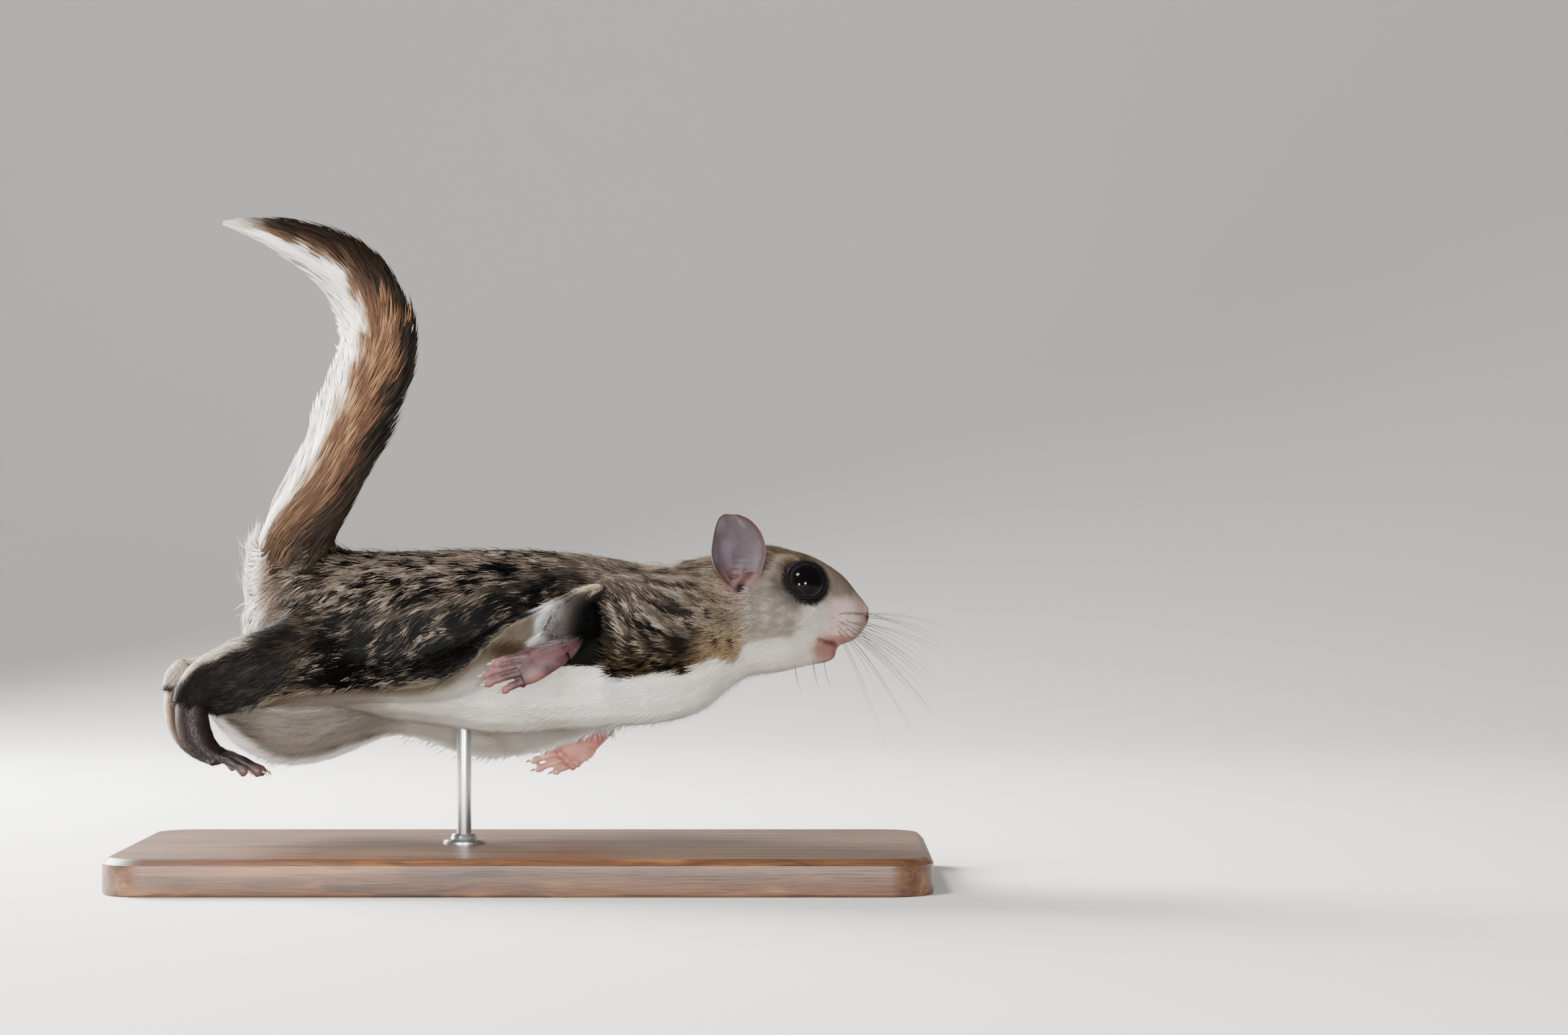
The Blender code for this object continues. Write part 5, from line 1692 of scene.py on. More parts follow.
@dataclass
class Tail:
    """The long flat tail, its hairs swept to both edges and to the tip."""

    core: float = 0.4  # of the outline
    tufts: int = 20_000
    length: float = 12.0  # of a hair
    wide: float = 0.55  # of a hair
    per: int = 4  # steps between two rows
    around: int = 24  # points round the core
    mid_turn: float = 33.0  # degrees from the near edge to the middle of the dark side
    root_tone_and_shade: float = 0.4  # of the coat's lightness, on the core under it: the roots' darker tone and painted shade between the tufts
    depth_of_tone: float = 1.6
    clumping: float = 0.55  # how far a hair's tip goes to the middle of its clump
    clumps_round: float = 4.2  # for each radian

    def frames(self, rows: Array) -> list[Array]:
        """Centre, direction across the flat and direction through it, at each row.

        Args:
            rows: The tail's rows.

        Returns:
            The three, one place or direction to a row.
        """
        centres = rows[:, :3]
        along = unit(np.gradient(centres, axis=0))
        turn = np.radians(90 - rows[:, 5])[:, None]
        back = unit(np.cross([0, 1.0, 0], along))
        across = np.array([0, -1.0, 0]) * np.cos(turn) + back * np.sin(turn)
        return [centres, across, np.cross(across, along)]

    def place(
        self, rows: Array, frames: list[Array], where: Array, angle: Array, share: Array
    ) -> Array:
        """Points in the tail.

        Args:
            rows: The tail's rows.
            frames: Its frames.
            where: Row of each point, with its fraction.
            angle: Turn of each round the axis, from the edge that faces the camera.
            share: Distance off the axis, as a share of the outline.

        Returns:
            The points in mm.
        """
        index = np.arange(len(rows))
        centre, across, through = (
            np.stack([np.interp(where, index, f[:, k]) for k in range(3)], axis=1) for f in frames
        )
        wide, thick = (np.interp(where, index, rows[:, k]) for k in (3, 4))
        return (centre + across * (wide * share * np.cos(angle))[:, None]
                + through * (thick * share * np.sin(angle))[:, None])

    def colours(self, share: Array, angle: Array, points: Array) -> Array:
        """Colour of the coat by its place along the tail and round it.

        Args:
            share: Place along the tail, 0 at the root and 1 at the tip.
            angle: Turn round the axis in radians.
            points: Places in mm.

        Returns:
            Linear colours.
        """
        turn = (np.degrees(angle) + self.mid_turn + 180) % 360 - 180
        turn = np.abs(turn) - self.mid_turn + (noise(points, 3.0, 31) - 0.5) * 36
        coat = Layers(len(share), "#50463d")
        coat.lay("#3a312a", ramp(noise(points, (1.0, 1.0, 3.4), 32), 0.46, 0.6) * 0.85)
        warm = ramp(turn, 6, 30)
        turn = turn - np.interp(share, (0.4, 0.62), (19, 0))
        coat.lay("#87614a", warm)
        coat.lay("#b08862", warm * ramp(noise(points, (1.6, 1.6, 3.2), 33), 0.45, 0.7))
        # Buff, then cream, then near white towards the far edge: paler hair there, its near white
        # painted rim light from behind
        coat.lay("#b99b79", ramp(turn, 48, 70))
        coat.lay("#dccab2", ramp(turn, 62, 80))
        coat.lay("#fbf8f2", ramp(turn, 72, 90))
        root = ramp(share, 0.34, 0.14) * ramp(turn, 90, 50)
        coat.lay("#5b4536", root * 0.6)
        bend = ramp(share, 0.6, 0.72)
        coat.lay("#4d3b30", bend * ramp(turn, 60, 25))
        coat.lay("#7e5f46", bend * ramp(turn, 20, 50) * ramp(turn, 80, 60) * 0.8)
        # The near white of the far edge reaches further round at the bend: painted rim light on pale
        # hair
        coat.lay("#f2eee6", bend * ramp(turn, 50, 74))
        coat.lay("#d9d2ca", ramp(share, 0.86, 0.97) * 0.85)
        return coat.toned(self.depth_of_tone)

    def build(self, rng: Rng) -> None:
        """Builds and dresses the core and the coat of the tail.

        Args:
            rng: Source of chance.
        """
        rows = spline(TAIL_ROWS, self.per)
        frames = self.frames(rows)
        last = len(rows) - 1
        ring = np.linspace(0, 2 * math.pi, self.around, endpoint=False)
        same = np.ones(self.around)
        rings = [
            self.place(rows, frames, same * i, ring, same * self.core_at(i / last))
            for i in range(1, last)
        ]
        core = loft("tail_core", rings)
        smooth_shaded(core)
        unwrap(core)
        points = vertices_of(core)
        nearest = np.argmin(np.linalg.norm(points[:, None] - frames[0][None], axis=2), axis=1)
        off = points - frames[0][nearest]
        angle = np.arctan2(
            np.sum(off * frames[2][nearest], axis=1) / rows[nearest, 4],
            np.sum(off * frames[1][nearest], axis=1) / rows[nearest, 3],
        )
        # The core takes the tail's colours, darkened: the roots' own tone, and painted shade deep
        # between the tufts
        paint(core, self.colours(nearest / last, angle, points) * self.root_tone_and_shade)
        hide = HideFinish("downy_tail_hide").material()
        present(core, hide, Slot.TAIL_COAT, "tail_base", "tail_mid", "tail_tip")
        fur = FurFinish("tail_brush").material()
        for piece in self.coat(rows, frames, rng).pieces("coat_tail"):
            present(piece, fur, Slot.TAIL_COAT)

    def core_at(self, share: float) -> float:
        """The core's share of the outline along the tail: full at the root, slim beyond."""
        return float(np.interp(share, (0.0, 0.12, 0.24), (0.85, 0.75, self.core)))

    def coat(self, rows: Array, frames: list[Array], rng: Rng) -> Tufts:
        """Tufts of the tail, in layers from its core out to its outline.

        Args:
            rows: The tail's rows.
            frames: Its frames.
            rng: Source of chance.

        Returns:
            The tufts.
        """
        last = len(rows) - 1
        girth = rows[2:-1, 3] + rows[2:-1, 4]
        total = np.concatenate([[0.0], np.cumsum(girth)])
        count = self.tufts
        marks = (np.arange(count) + rng.random(count)) / count * total[-1]
        start = 2 + np.interp(marks, total, np.arange(len(total)))
        chance = rng.random((7, count))
        angle = chance[0] * 2 * math.pi
        angle += 0.35 * np.sin(2 * angle)  # more hair grows to the two edges
        step = np.linalg.norm(np.diff(frames[0], axis=0), axis=1).mean()
        length = self.length * (0.7 + 0.5 * chance[1])
        length = length * np.interp(start / last, (0, 0.1, 0.7, 1), (0.6, 1, 0.9, 0.55))
        end = np.minimum(start + length / step * 0.93, last + 0.6 * chance[2])
        each = self.clumps_round
        cells = np.stack([np.floor(start / 2), np.floor(angle * each), 0 * start], 1).astype(int)
        clump = [lattice(cells, seed) for seed in (35, 36, 37)]
        outer = 1.04 - 0.42 * chance[3] ** 1.6 + 0.3 * clump[0] * np.cos(angle) ** 2 - 0.07
        end += self.clumping * ((cells[:, 0] + 0.5 + clump[1]) * 2 - start)
        end = np.minimum(end, last + 0.6 * chance[2])
        core = np.interp(start / last, (0.0, 0.12, 0.24), (0.8, 0.7, self.core * 0.8))
        waves = noise(np.stack([start, angle * 3, start * 0], 1), 2.0, 34)
        sway = (chance[4] - 0.5) * 0.25 + (waves - 0.5) * 0.35
        drift = -0.22 * np.sin(2 * angle)
        drift += self.clumping * ((cells[:, 1] + 0.2 + 0.6 * clump[2]) / each - angle)
        stations = []
        for along, out in ((0.0, 0.0), (0.33, 0.52), (0.68, 0.84), (1.0, 1.0)):
            where = start + (end - start) * along
            share = core + (outer - core) * out
            turn = angle + (drift + sway) * along
            stations.append(self.place(rows, frames, np.minimum(where, last), turn, share))
        sizes = np.interp(start / last, (0, 0.5, 0.85, 1), (0.9, 1.0, 0.8, 0.5))
        wide = self.wide * (sizes * (0.7 + 0.6 * chance[5])) / 2
        tips = self.colours(end / last, angle + drift, stations[-1])
        tips *= (0.8 + 0.4 * chance[6])[:, None]
        radial = stations[-1] - self.place(rows, frames, np.minimum(end, last), angle, 0 * end)
        flat = unit(np.cross(radial, stations[-1] - stations[0]))
        spots = np.stack([start / last * 0.9 + 0.05, (angle / (2 * math.pi)) % 1.0 * 0.9 + 0.05], 1)
        return Tufts(
            stations, flat, [wide * 0.7, wide, wide * 0.8], [wide * 0.5, wide * 0.6, wide * 0.5],
            [tips * 0.5, tips * 0.8, tips * 0.95, tips * 1.05], spots, unit(radial),
        )


@dataclass
class Eyes:
    """Two glass eyes in black lids."""

    lid: float = 0.22  # half thickness of the lid's rim
    opening: float = 4.0  # radius of the opening
    stretch: float = 1.05  # of the opening along the head
    gap: float = 0.05  # mm between the glass and its socket

    def build(self) -> None:
        """Builds and dresses both eyes and their lids."""
        rim = PlainFinish("black_lid", "#0a0808", "#030202", 0.6, specular=0.12).material()
        rise = math.sqrt(EYE_RADIUS**2 - self.opening**2) - 0.12
        for side in Side:
            centre, out = eye_centre(side), eye_axis(side)
            turn = Vector(out).to_track_quat("Z", "Y").to_euler()
            ball = primitive(
                bpy.ops.mesh.primitive_uv_sphere_add, f"eyeball_{side.word}", centre, segments=64,
                ring_count=40, radius=(EYE_RADIUS - self.gap) * MM, rotation=turn,
            )
            smooth_shaded(ball)
            glass = EyeFinish(f"glass_eye_{side.word}", side).material()
            present(ball, glass, Slot.EYE, f"eye_{side.word}")
            lid = primitive(
                bpy.ops.mesh.primitive_torus_add, f"eyelid_{side.word}", centre + out * rise,
                major_segments=72, minor_segments=16, major_radius=(self.opening + 0.2) * MM,
                minor_radius=self.lid * MM, rotation=turn,
            )
            points = vertices_of(lid)
            points[:, 0] = centre[0] + (points[:, 0] - centre[0]) * self.stretch
            move_vertices(lid, points)
            smooth_shaded(lid)
            present(lid, rim, Slot.BARE_SKIN)


@dataclass
class Ears:
    """Thin leaf-shaped ears, cupped open to the side and front, with folds at their foot."""

    height: float = 16.2
    wall: float = 0.55
    cup: float = 3.4  # depth of the hollow at the foot
    spread: float = 1.06  # of the outline's width
    columns: int = 41  # of points across
    # Height, rear edge and front edge at each level
    outline: Rows = (
        (-1.6, -0.2, 2.4), (-0.4, -0.8, 3.0), (0.8, -2.1, 3.7), (2.2, -3.9, 4.3),
        (4.4, -5.4, 5.0), (7.4, -6.2, 5.6), (10.4, -6.0, 5.2), (13.0, -5.6, 3.9),
        (15.0, -4.9, 1.8), (16.0, -3.6, -0.6),
    )

    def build(self) -> None:
        """Builds and dresses both ears."""
        skin = BareSkinFinish(
            "thin_ear_skin", bleed=0.1, bleed_radius=0.8, crease=0.9, crease_depth=0.02,
            roughness=0.55,
        ).material()
        for side in Side:
            present(self.shell(side), skin, Slot.BARE_SKIN, f"ear_{side.word}")

    def shell(self, side: Side) -> Piece:
        """One ear with its thickness and tint.

        Args:
            side: Which ear.

        Returns:
            The ear.
        """
        sideways, up = head_axes()
        sideways = sideways * side.value
        rise = unit(up + sideways * 0.14)
        across = unit(np.array([1.0, 0, 0]) - sideways * 0.34)
        face = np.cross(rise, across)
        face = face if face @ sideways > 0 else -face
        root = on_head(EAR_ROOT[0] - 1.1, side.value * EAR_ROOT[1], EAR_ROOT[2] - 0.5)
        outline = spline(self.outline, 5)
        u = np.linspace(-1, 1, self.columns)
        front, back, tints = [], [], []
        for height, rear, fore in outline:
            v = max(0.0, height / self.height)
            cup = self.cup * (1 - v * 0.75)
            rim = 0.55 * ramp(np.abs(u), 0.86, 1.0)
            fold = 1.1 * self.bump(u, 0.15 + 0.5 * v, 0.16) * ramp(v, 0.42, 0.05)
            notch = 0.8 * self.bump(u, -0.45, 0.14) * ramp(v, 0.3, 0.02)
            ridges = 0.28 * np.sin(v * 75) * self.bump(u, 0.1, 0.45) * ramp(v, 0.5, 0.34)
            off = 1.5 + 2.0 * v - cup * (1 - u * u) + rim + fold + notch + ridges
            place = rear + (fore - rear) * (u + 1) / 2
            row = (root + rise * height + across * (place * self.spread)[:, None]
                   + face * off[:, None])
            thin = self.wall * (1.3 - 0.6 * v) / 2
            front.append(row + face * thin)
            back.append(row - face * thin)
            tints.append(self.tint(u, v))
        levels, wide = len(outline), self.columns
        count = levels * wide
        faces: list[tuple[int, ...]] = []
        for r in range(levels - 1):
            for c in range(wide - 1):
                a = r * wide + c
                faces.append((a, a + 1, a + 1 + wide, a + wide))
                faces.append(tuple(count + i for i in (a, a + wide, a + 1 + wide, a + 1)))
        rim_line = (
            list(range(wide)) + [r * wide + wide - 1 for r in range(1, levels)]
            + [(levels - 1) * wide + c for c in range(wide - 2, -1, -1)]
            + [r * wide for r in range(levels - 2, 0, -1)]
        )
        for a, b in zip(rim_line, rim_line[1:] + rim_line[:1]):
            faces.append((b, a, count + a, count + b))
        ear = mesh_object(f"ear_shell_{side.word}", np.concatenate(front + back), faces)
        paint(ear, np.concatenate(tints + [t * 0.8 for t in tints]))
        apply_modifier(ear, "SUBSURF", levels=1, render_levels=1)
        smooth_shaded(ear)
        return ear

    @staticmethod
    def bump(u: Array, middle: float, reach: float) -> Array:
        """A soft swelling across the ear, 1 at its middle."""
        return np.exp(-(((u - middle) / reach) ** 2))

    @staticmethod
    def tint(u: Array, v: float) -> Array:
        """Colours across one level of the ear: mauve-grey, with a pink-brown rim and foot.

        Args:
            u: Places across it, from -1 at the rear edge to 1 at the front edge.
            v: Its height, as a share of the ear's.

        Returns:
            Linear colours.
        """
        tint = Layers(len(u), "#4b4248")
        veins = noise(np.stack([u * 3 + v * 2, v * 5 - u, 0 * u], 1), 1.0, 41)
        tint.lay("#3c343a", ramp(veins, 0.45, 0.7) * 0.8)
        tint.lay("#5c555e", ramp(veins, 0.5, 0.25) * 0.5)
        tint.lay("#47363a", ramp(u, 0.66, 0.95) * ramp(v, 0.2, 0.5))
        tint.lay("#53433f", ramp(u, -0.85, -1.0) * 0.7)
        tint.lay("#4d3530", np.ones(len(u)) * ramp(v, 0.86, 1.0) * 0.7)
        tint.lay("#60423d", np.ones(len(u)) * ramp(v, 0.36, 0.06) * 0.85)
        tint.lay("#3a2422", ramp(v, 0.16, 0.0) * ramp(np.abs(u + 0.1), 0.5, 0.15) * 0.8)
        return tint.colours


@dataclass(frozen=True)
class PawPlan:
    """One paw's own shape: rows of its palm, and the roots and tips of its digits."""

    node: str
    palm: Rows  # x, y, z, half width and half thickness from the wrist or ankle on
    hint: Place  # up from the palm
    roots: Rows
    tips: Rows
    radius: float  # of a digit
    bow: Place  # how far the digits' middles rise
    claw: float  # length
    skin: str
    shade: str
    tip: str
    down: str
    down_backlit: str  # painted glow of the down where light comes through it from behind, also laid on its upper side
    down_from: Place  # the side that the down grows on
    down_to: float  # share of the palm's length that it covers


PAWS = (
    PawPlan(
        "forepaw_right",
        ((13.0, -30.6, 54.4, 1.3, 1.5), (10.6, -33.4, 52.4, 2.0, 2.4), (8.4, -34.8, 51.0, 2.1, 2.9),
         (5.4, -36.0, 49.6, 2.0, 3.5), (2.4, -36.8, 48.2, 1.8, 3.9), (0.4, -37.2, 47.4, 1.4, 3.6)),
        (0, 0.4, 1),
        ((0.8, -37.0, 50.2), (0.0, -37.5, 48.3), (0.0, -37.5, 46.6), (1.4, -37.2, 44.9),
         (6.2, -36.6, 47.4)),
        ((-5.4, -37.6, 48.7), (-7.4, -38.2, 46.2), (-6.9, -38.2, 44.3), (-3.3, -37.9, 42.9),
         (4.4, -37.0, 45.6)),
        0.95, (0, -0.55, 0.25), 1.15, "#4a2d31", "#2e1b1e", "#6d4142",
        "#5c5355", "#8a868b", (0.1, 0.1, 1.0), 0.75,
    ),
    PawPlan(
        "forepaw_left",
        ((18.4, 30.6, 36.2, 1.3, 1.5), (16.4, 32.8, 33.6, 2.0, 2.4), (14.4, 34.0, 31.4, 2.1, 2.8),
         (11.2, 35.2, 28.8, 1.9, 3.3), (8.4, 35.9, 26.6, 1.7, 3.8), (6.6, 36.1, 25.2, 1.4, 3.6)),
        (0, -0.2, 1),
        ((4.7, 36.1, 27.1), (5.6, 36.3, 25.6), (6.9, 36.3, 24.3), (8.2, 36.1, 23.0),
         (12.6, 35.6, 26.8)),
        ((0.4, 36.4, 26.0), (-1.8, 36.7, 23.8), (-0.7, 36.7, 21.8), (3.3, 36.5, 21.2),
         (11.6, 36.0, 24.6)),
        0.95, (0, 0.55, 0.25), 1.3, "#ab766b", "#8c574c", "#bd9184",
        "#e6d9cf", "#f4efe8", (0.2, 0.2, 1.0), 0.7,
    ),
    PawPlan(
        "hindfoot_right",
        ((-70.4, -15.0, 42.6, 2.0, 2.0), (-71.6, -15.0, 39.4, 3.2, 3.2),
         (-71.4, -15.0, 34.6, 3.8, 3.5), (-69.9, -15.1, 31.0, 4.0, 3.2),
         (-67.6, -15.3, 28.8, 4.3, 2.5), (-65.4, -15.5, 27.8, 4.2, 2.0)),
        (1, 0, 0.6),
        ((-66.6, -12.2, 28.2), (-65.8, -13.8, 28.2), (-65.6, -15.5, 28.2), (-65.8, -17.1, 28.2),
         (-66.8, -18.7, 28.0)),
        ((-58.4, -10.4, 24.6), (-56.4, -12.9, 24.4), (-55.6, -15.6, 24.4), (-56.2, -18.2, 24.4),
         (-59.0, -20.6, 24.6)),
        1.1, (0.1, 0, 0.75), 1.5, "#1e1615", "#110b0b", "#54403d",
        "#211916", "#453830", (0.0, 0.0, 0.0), 1.1,
    ),
    PawPlan(
        "hindfoot_left",
        ((-76.0, 7.0, 44.4, 2.0, 2.0), (-77.4, 7.0, 41.0, 3.1, 3.1),
         (-77.2, 7.0, 35.8, 3.7, 3.5), (-75.6, 7.0, 31.6, 4.0, 3.2),
         (-73.2, 7.2, 28.6, 4.3, 2.5), (-70.8, 7.4, 27.4, 4.2, 2.0)),
        (1, 0, 0.6),
        ((-72.0, 10.7, 27.6), (-71.2, 9.1, 27.8), (-71.0, 7.4, 27.8), (-71.2, 5.8, 27.8),
         (-72.2, 4.2, 27.6)),
        ((-63.8, 12.6, 24.4), (-61.8, 10.1, 24.2), (-61.0, 7.4, 24.2), (-61.6, 4.8, 24.2),
         (-64.4, 2.4, 24.4)),
        1.1, (0.1, 0, 0.75), 1.5, "#463430", "#291d19", "#735953",
        "#33261e", "#d9bf9f", (0.0, 0.0, 0.0), 1.1,
    ),
)


@dataclass
class Paws:
    """Four paws with jointed digits, pads and hooked claws, and down from the ankles on."""

    voxel: float = 0.24
    smoothing: int = 4
    hairs: float = 14.0  # to a square mm
    hair: Place = (1.2, 0.24, 0.13)  # length, height and width in mm
    rear: Place = (-0.95, -0.1, 0.3)  # the light behind comes through hairs that face this way

    def build(self, rng: Rng) -> None:
        """Builds and dresses every paw, its claws and its down.

        Args:
            rng: Source of chance.
        """
        fur = FurFinish("paw_down").material()
        horn = PlainFinish("translucent_claw", "#8d7a69", "#57483c", 0.3).material()
        for plan in PAWS:
            paw = self.flesh(plan)
            skin = BareSkinFinish(f"paw_skin_{plan.node}").material()
            present(paw, skin, Slot.BARE_SKIN, plan.node)
            present(self.claws(plan), horn, Slot.BARE_SKIN)
            for piece in self.down(plan, paw, rng).pieces(f"coat_{plan.node}"):
                present(piece, fur, Slot.COAT)

    def flesh(self, plan: PawPlan) -> Piece:
        """Palm, digits and pads melted into one skin.

        Args:
            plan: The paw's plan.

        Returns:
            The skin, painted.
        """
        masses = [tube(plan.node + "_palm", plan.palm, plan.hint, 4, 24)]
        bow = np.array(plan.bow)
        radius = plan.radius
        for root_row, tip_row in zip(plan.roots, plan.tips):
            root, tip = np.array(root_row), np.array(tip_row)
            along = unit(tip - root)
            rows = [
                (*(root - along * 1.4), radius * 1.05, radius * 1.05),
                (*(root * 0.75 + tip * 0.25 + bow * 0.75), radius * 0.86, radius * 0.86),
                (*(root * 0.5 + tip * 0.5 + bow), radius * 0.95, radius * 0.95),
                (*(root * 0.3 + tip * 0.7 + bow * 0.7), radius * 0.8, radius * 0.8),
                (*(tip - along * 1.1 + bow * 0.25), radius * 1.0, radius * 1.05),
                (*tip, radius * 0.5, radius * 0.55),
            ]
            masses.append(tube(plan.node + "_digit", rows, TUBE_HINT, 3, 14))
            masses.append(self.pad(tip - along * 1.0 - bow * 0.5, radius * 0.72))
            masses.append(self.pad(root + along * 0.2 - bow * 1.1, radius * 0.95))
        paw = joined(f"skin_{plan.node}", masses)
        apply_modifier(paw, "REMESH", mode="VOXEL", voxel_size=self.voxel * MM)
        apply_modifier(paw, "SMOOTH", factor=0.5, iterations=self.smoothing)
        smooth_shaded(paw)
        unwrap(paw)
        points = vertices_of(paw)
        tint = Layers(len(points), plan.skin)
        tint.lay(plan.shade, ramp(noise(points, 1.6, 51), 0.5, 0.8) * 0.7)
        tint.lay(plan.tip, ramp(distance(points, plan.tips), 3.4, 1.2) * 0.8)
        tint.lay(plan.shade, ramp(distance(points, [plan.palm[0][:3]]), 6.0, 2.5) * 0.85)
        tint.lay(plan.shade, ramp(distance(points, plan.roots), 2.4, 1.2) * 0.5)
        # Darker where the skin faces down: painted shade
        tint.lay(plan.shade, ramp(-normals_of(paw)[:, 2], 0.5, 1.0) * 0.3)
        paint(paw, tint.colours)
        return paw

    def down(self, plan: PawPlan, paw: Piece, rng: Rng) -> Tufts:
        """Short hair that runs from the ankle or wrist on over the paw.

        Args:
            plan: The paw's plan.
            paw: Its skin.
            rng: Source of chance.

        Returns:
            The hairs.
        """
        surface = Surface(paw)
        start, end = (np.array(plan.palm[k][:3]) for k in (0, -1))
        span = end - start
        along = (surface.middles - start) @ span / (span @ span)
        roots = surface.spread(self.hairs * ramp(along, plan.down_to, plan.down_to - 0.3), rng)
        side = np.array(plan.down_from)
        roots = roots.only(roots.normals @ side >= 0.35 * np.linalg.norm(side))
        count = len(roots.points)
        chance = rng.random((3, count, 1))
        length, rise, wide = self.hair
        way = unit(span) + (chance[0] - 0.5) * 0.5 * np.array([1.0, -1.0, 1.0])
        way = unit(way - roots.normals * np.sum(way * roots.normals, axis=1, keepdims=True))
        tip = roots.points + way * length * (0.7 + 0.6 * chance[1])
        tip += roots.normals * rise * (0.5 + chance[2])
        coat = Layers(count, plan.down)
        # Paler hairs where they face the rear, and where they face straight to the side that they
        # grow on: painted glow of the light from behind and above
        coat.lay(plan.down_backlit, ramp(roots.normals @ np.array(self.rear), 0.45, 0.95) * 0.8)
        coat.lay(plan.down_backlit, ramp(roots.normals @ side, 0.5, 0.95) * 0.8)
        tips = coat.colours * (0.75 + 0.5 * chance[1])
        width = np.full(count, wide / 2)
        return Tufts(
            [roots.points - roots.normals * 0.1, tip], np.cross(roots.normals, way), [width],
            [width * 0.8], [tips * 0.7, tips], roots.patches, roots.normals,
        )

    @staticmethod
    def pad(centre: Array, radius: float) -> Piece:
        """A soft pad under a digit, to be melted into the paw."""
        ball = bpy.ops.mesh.primitive_uv_sphere_add
        return primitive(ball, "pad", centre, segments=14, ring_count=8, radius=radius * MM)

    @staticmethod
    def claws(plan: PawPlan) -> Piece:
        """The paw's claws, each hooked to a point.

        Args:
            plan: The paw's plan.

        Returns:
            The claws as one piece.
        """
        made = []
        rise = unit(np.array(plan.bow))
        for root_row, tip_row in zip(plan.roots, plan.tips):
            root, tip = np.array(root_row), np.array(tip_row)
            along = unit(tip - root)
            radius, claw = plan.radius, plan.claw
            rows = [
                (*(tip - along * 0.9 + rise * radius * 0.3), 0.22, 0.34),
                (*(tip + along * claw * 0.3 + rise * radius * 0.5), 0.18, 0.28),
                (*(tip + along * claw * 0.68 + rise * radius * 0.25), 0.11, 0.17),
                (*(tip + along * claw * 0.86 - rise * claw * 0.2), 0.03, 0.04),
            ]
            made.append(tube(f"claws_{plan.node}", rows, TUBE_HINT, 4, 10))
        claws = joined(f"claws_{plan.node}", made)
        smooth_shaded(claws)
        return claws


@dataclass
class Whiskers:
    """Long stiff hairs that sweep back and down from the pads beside the nose, and on the chin."""

    thick: float = 0.085  # half thickness at the root
    count: int = 16  # on each side
    most_x: float = 99.0
    chin: Rows = ((65.0, 1.0, 49.8), (62.6, 2.0, 49.6), (58.6, 2.6, 48.8))  # as on_head's places
    chin_length: float = 8.0

    def build(self, rng: Rng) -> None:
        """Builds and dresses the whiskers of both sides.

        Args:
            rng: Source of chance.
        """
        dark = PlainFinish("dark_whisker", "#4b4340", "#2a2422", 0.35).material()
        for side in Side:
            hairs = [self.long_hair(side, *divmod(k, 4), rng) for k in range(self.count)]
            hairs += [self.chin_hair(side, place) for place in self.chin]
            whiskers = joined(f"whiskers_{side.word}", hairs)
            smooth_shaded(whiskers)
            present(whiskers, dark, Slot.COAT)

    def hair(self, side: Side, points: Array, shares: Sequence[float]) -> Piece:
        """One hair through some points, thinner by their share of its length."""
        half = self.thick * (1 - 0.85 * np.array(shares))[:, None]
        points[:, 0] = np.minimum(points[:, 0], self.most_x)
        return tube(f"whiskers_{side.word}", np.hstack([points, half, half]), TUBE_HINT, 3, 5)

    def long_hair(self, side: Side, row: int, step: int, rng: Rng) -> Piece:
        """One whisker of the pad beside the nose.

        Args:
            side: Side of the head.
            row: Its row, counted down.
            step: Its step along the row, counted forward.
            rng: Source of chance.

        Returns:
            The hair.
        """
        lateral = side.value * (5.0 - 0.75 * step)
        root = on_head(67.2 + 1.15 * step + 0.3 * row, lateral, 57.6 - 1.05 * row)
        length = (24 + 12 * rng.random()) * (1.05 - 0.1 * step)
        ahead, aside = 0.55 + 0.25 * step - 0.05 * row, -side.value * (0.9 - 0.15 * step)
        out = unit(np.array([ahead, aside, 0.12 - 0.28 * row + 0.1 * rng.random()]))
        sag = np.array([0, 0, -1.0]) * length * (0.16 + 0.2 * rng.random())
        shares = (0, 0.2, 0.45, 0.7, 0.88, 1.0)
        points = np.array([root + out * length * t + sag * t * t for t in shares])
        points[0] = root - out * 0.8
        return self.hair(side, points, shares)

    def chin_hair(self, side: Side, place: Sequence[float]) -> Piece:
        """One short bristle below the chin.

        Args:
            side: Side of the head.
            place: Its root, as on_head takes it.

        Returns:
            The bristle.
        """
        x, lateral, height = place
        root = on_head(x, side.value * lateral, height)
        shares = (0, 0.35, 0.7, 1.0)
        ways = [np.array([0.2 * t, -0.15 * side.value, -1.0]) * self.chin_length * t for t in shares]
        return self.hair(side, root + np.array(ways), shares)


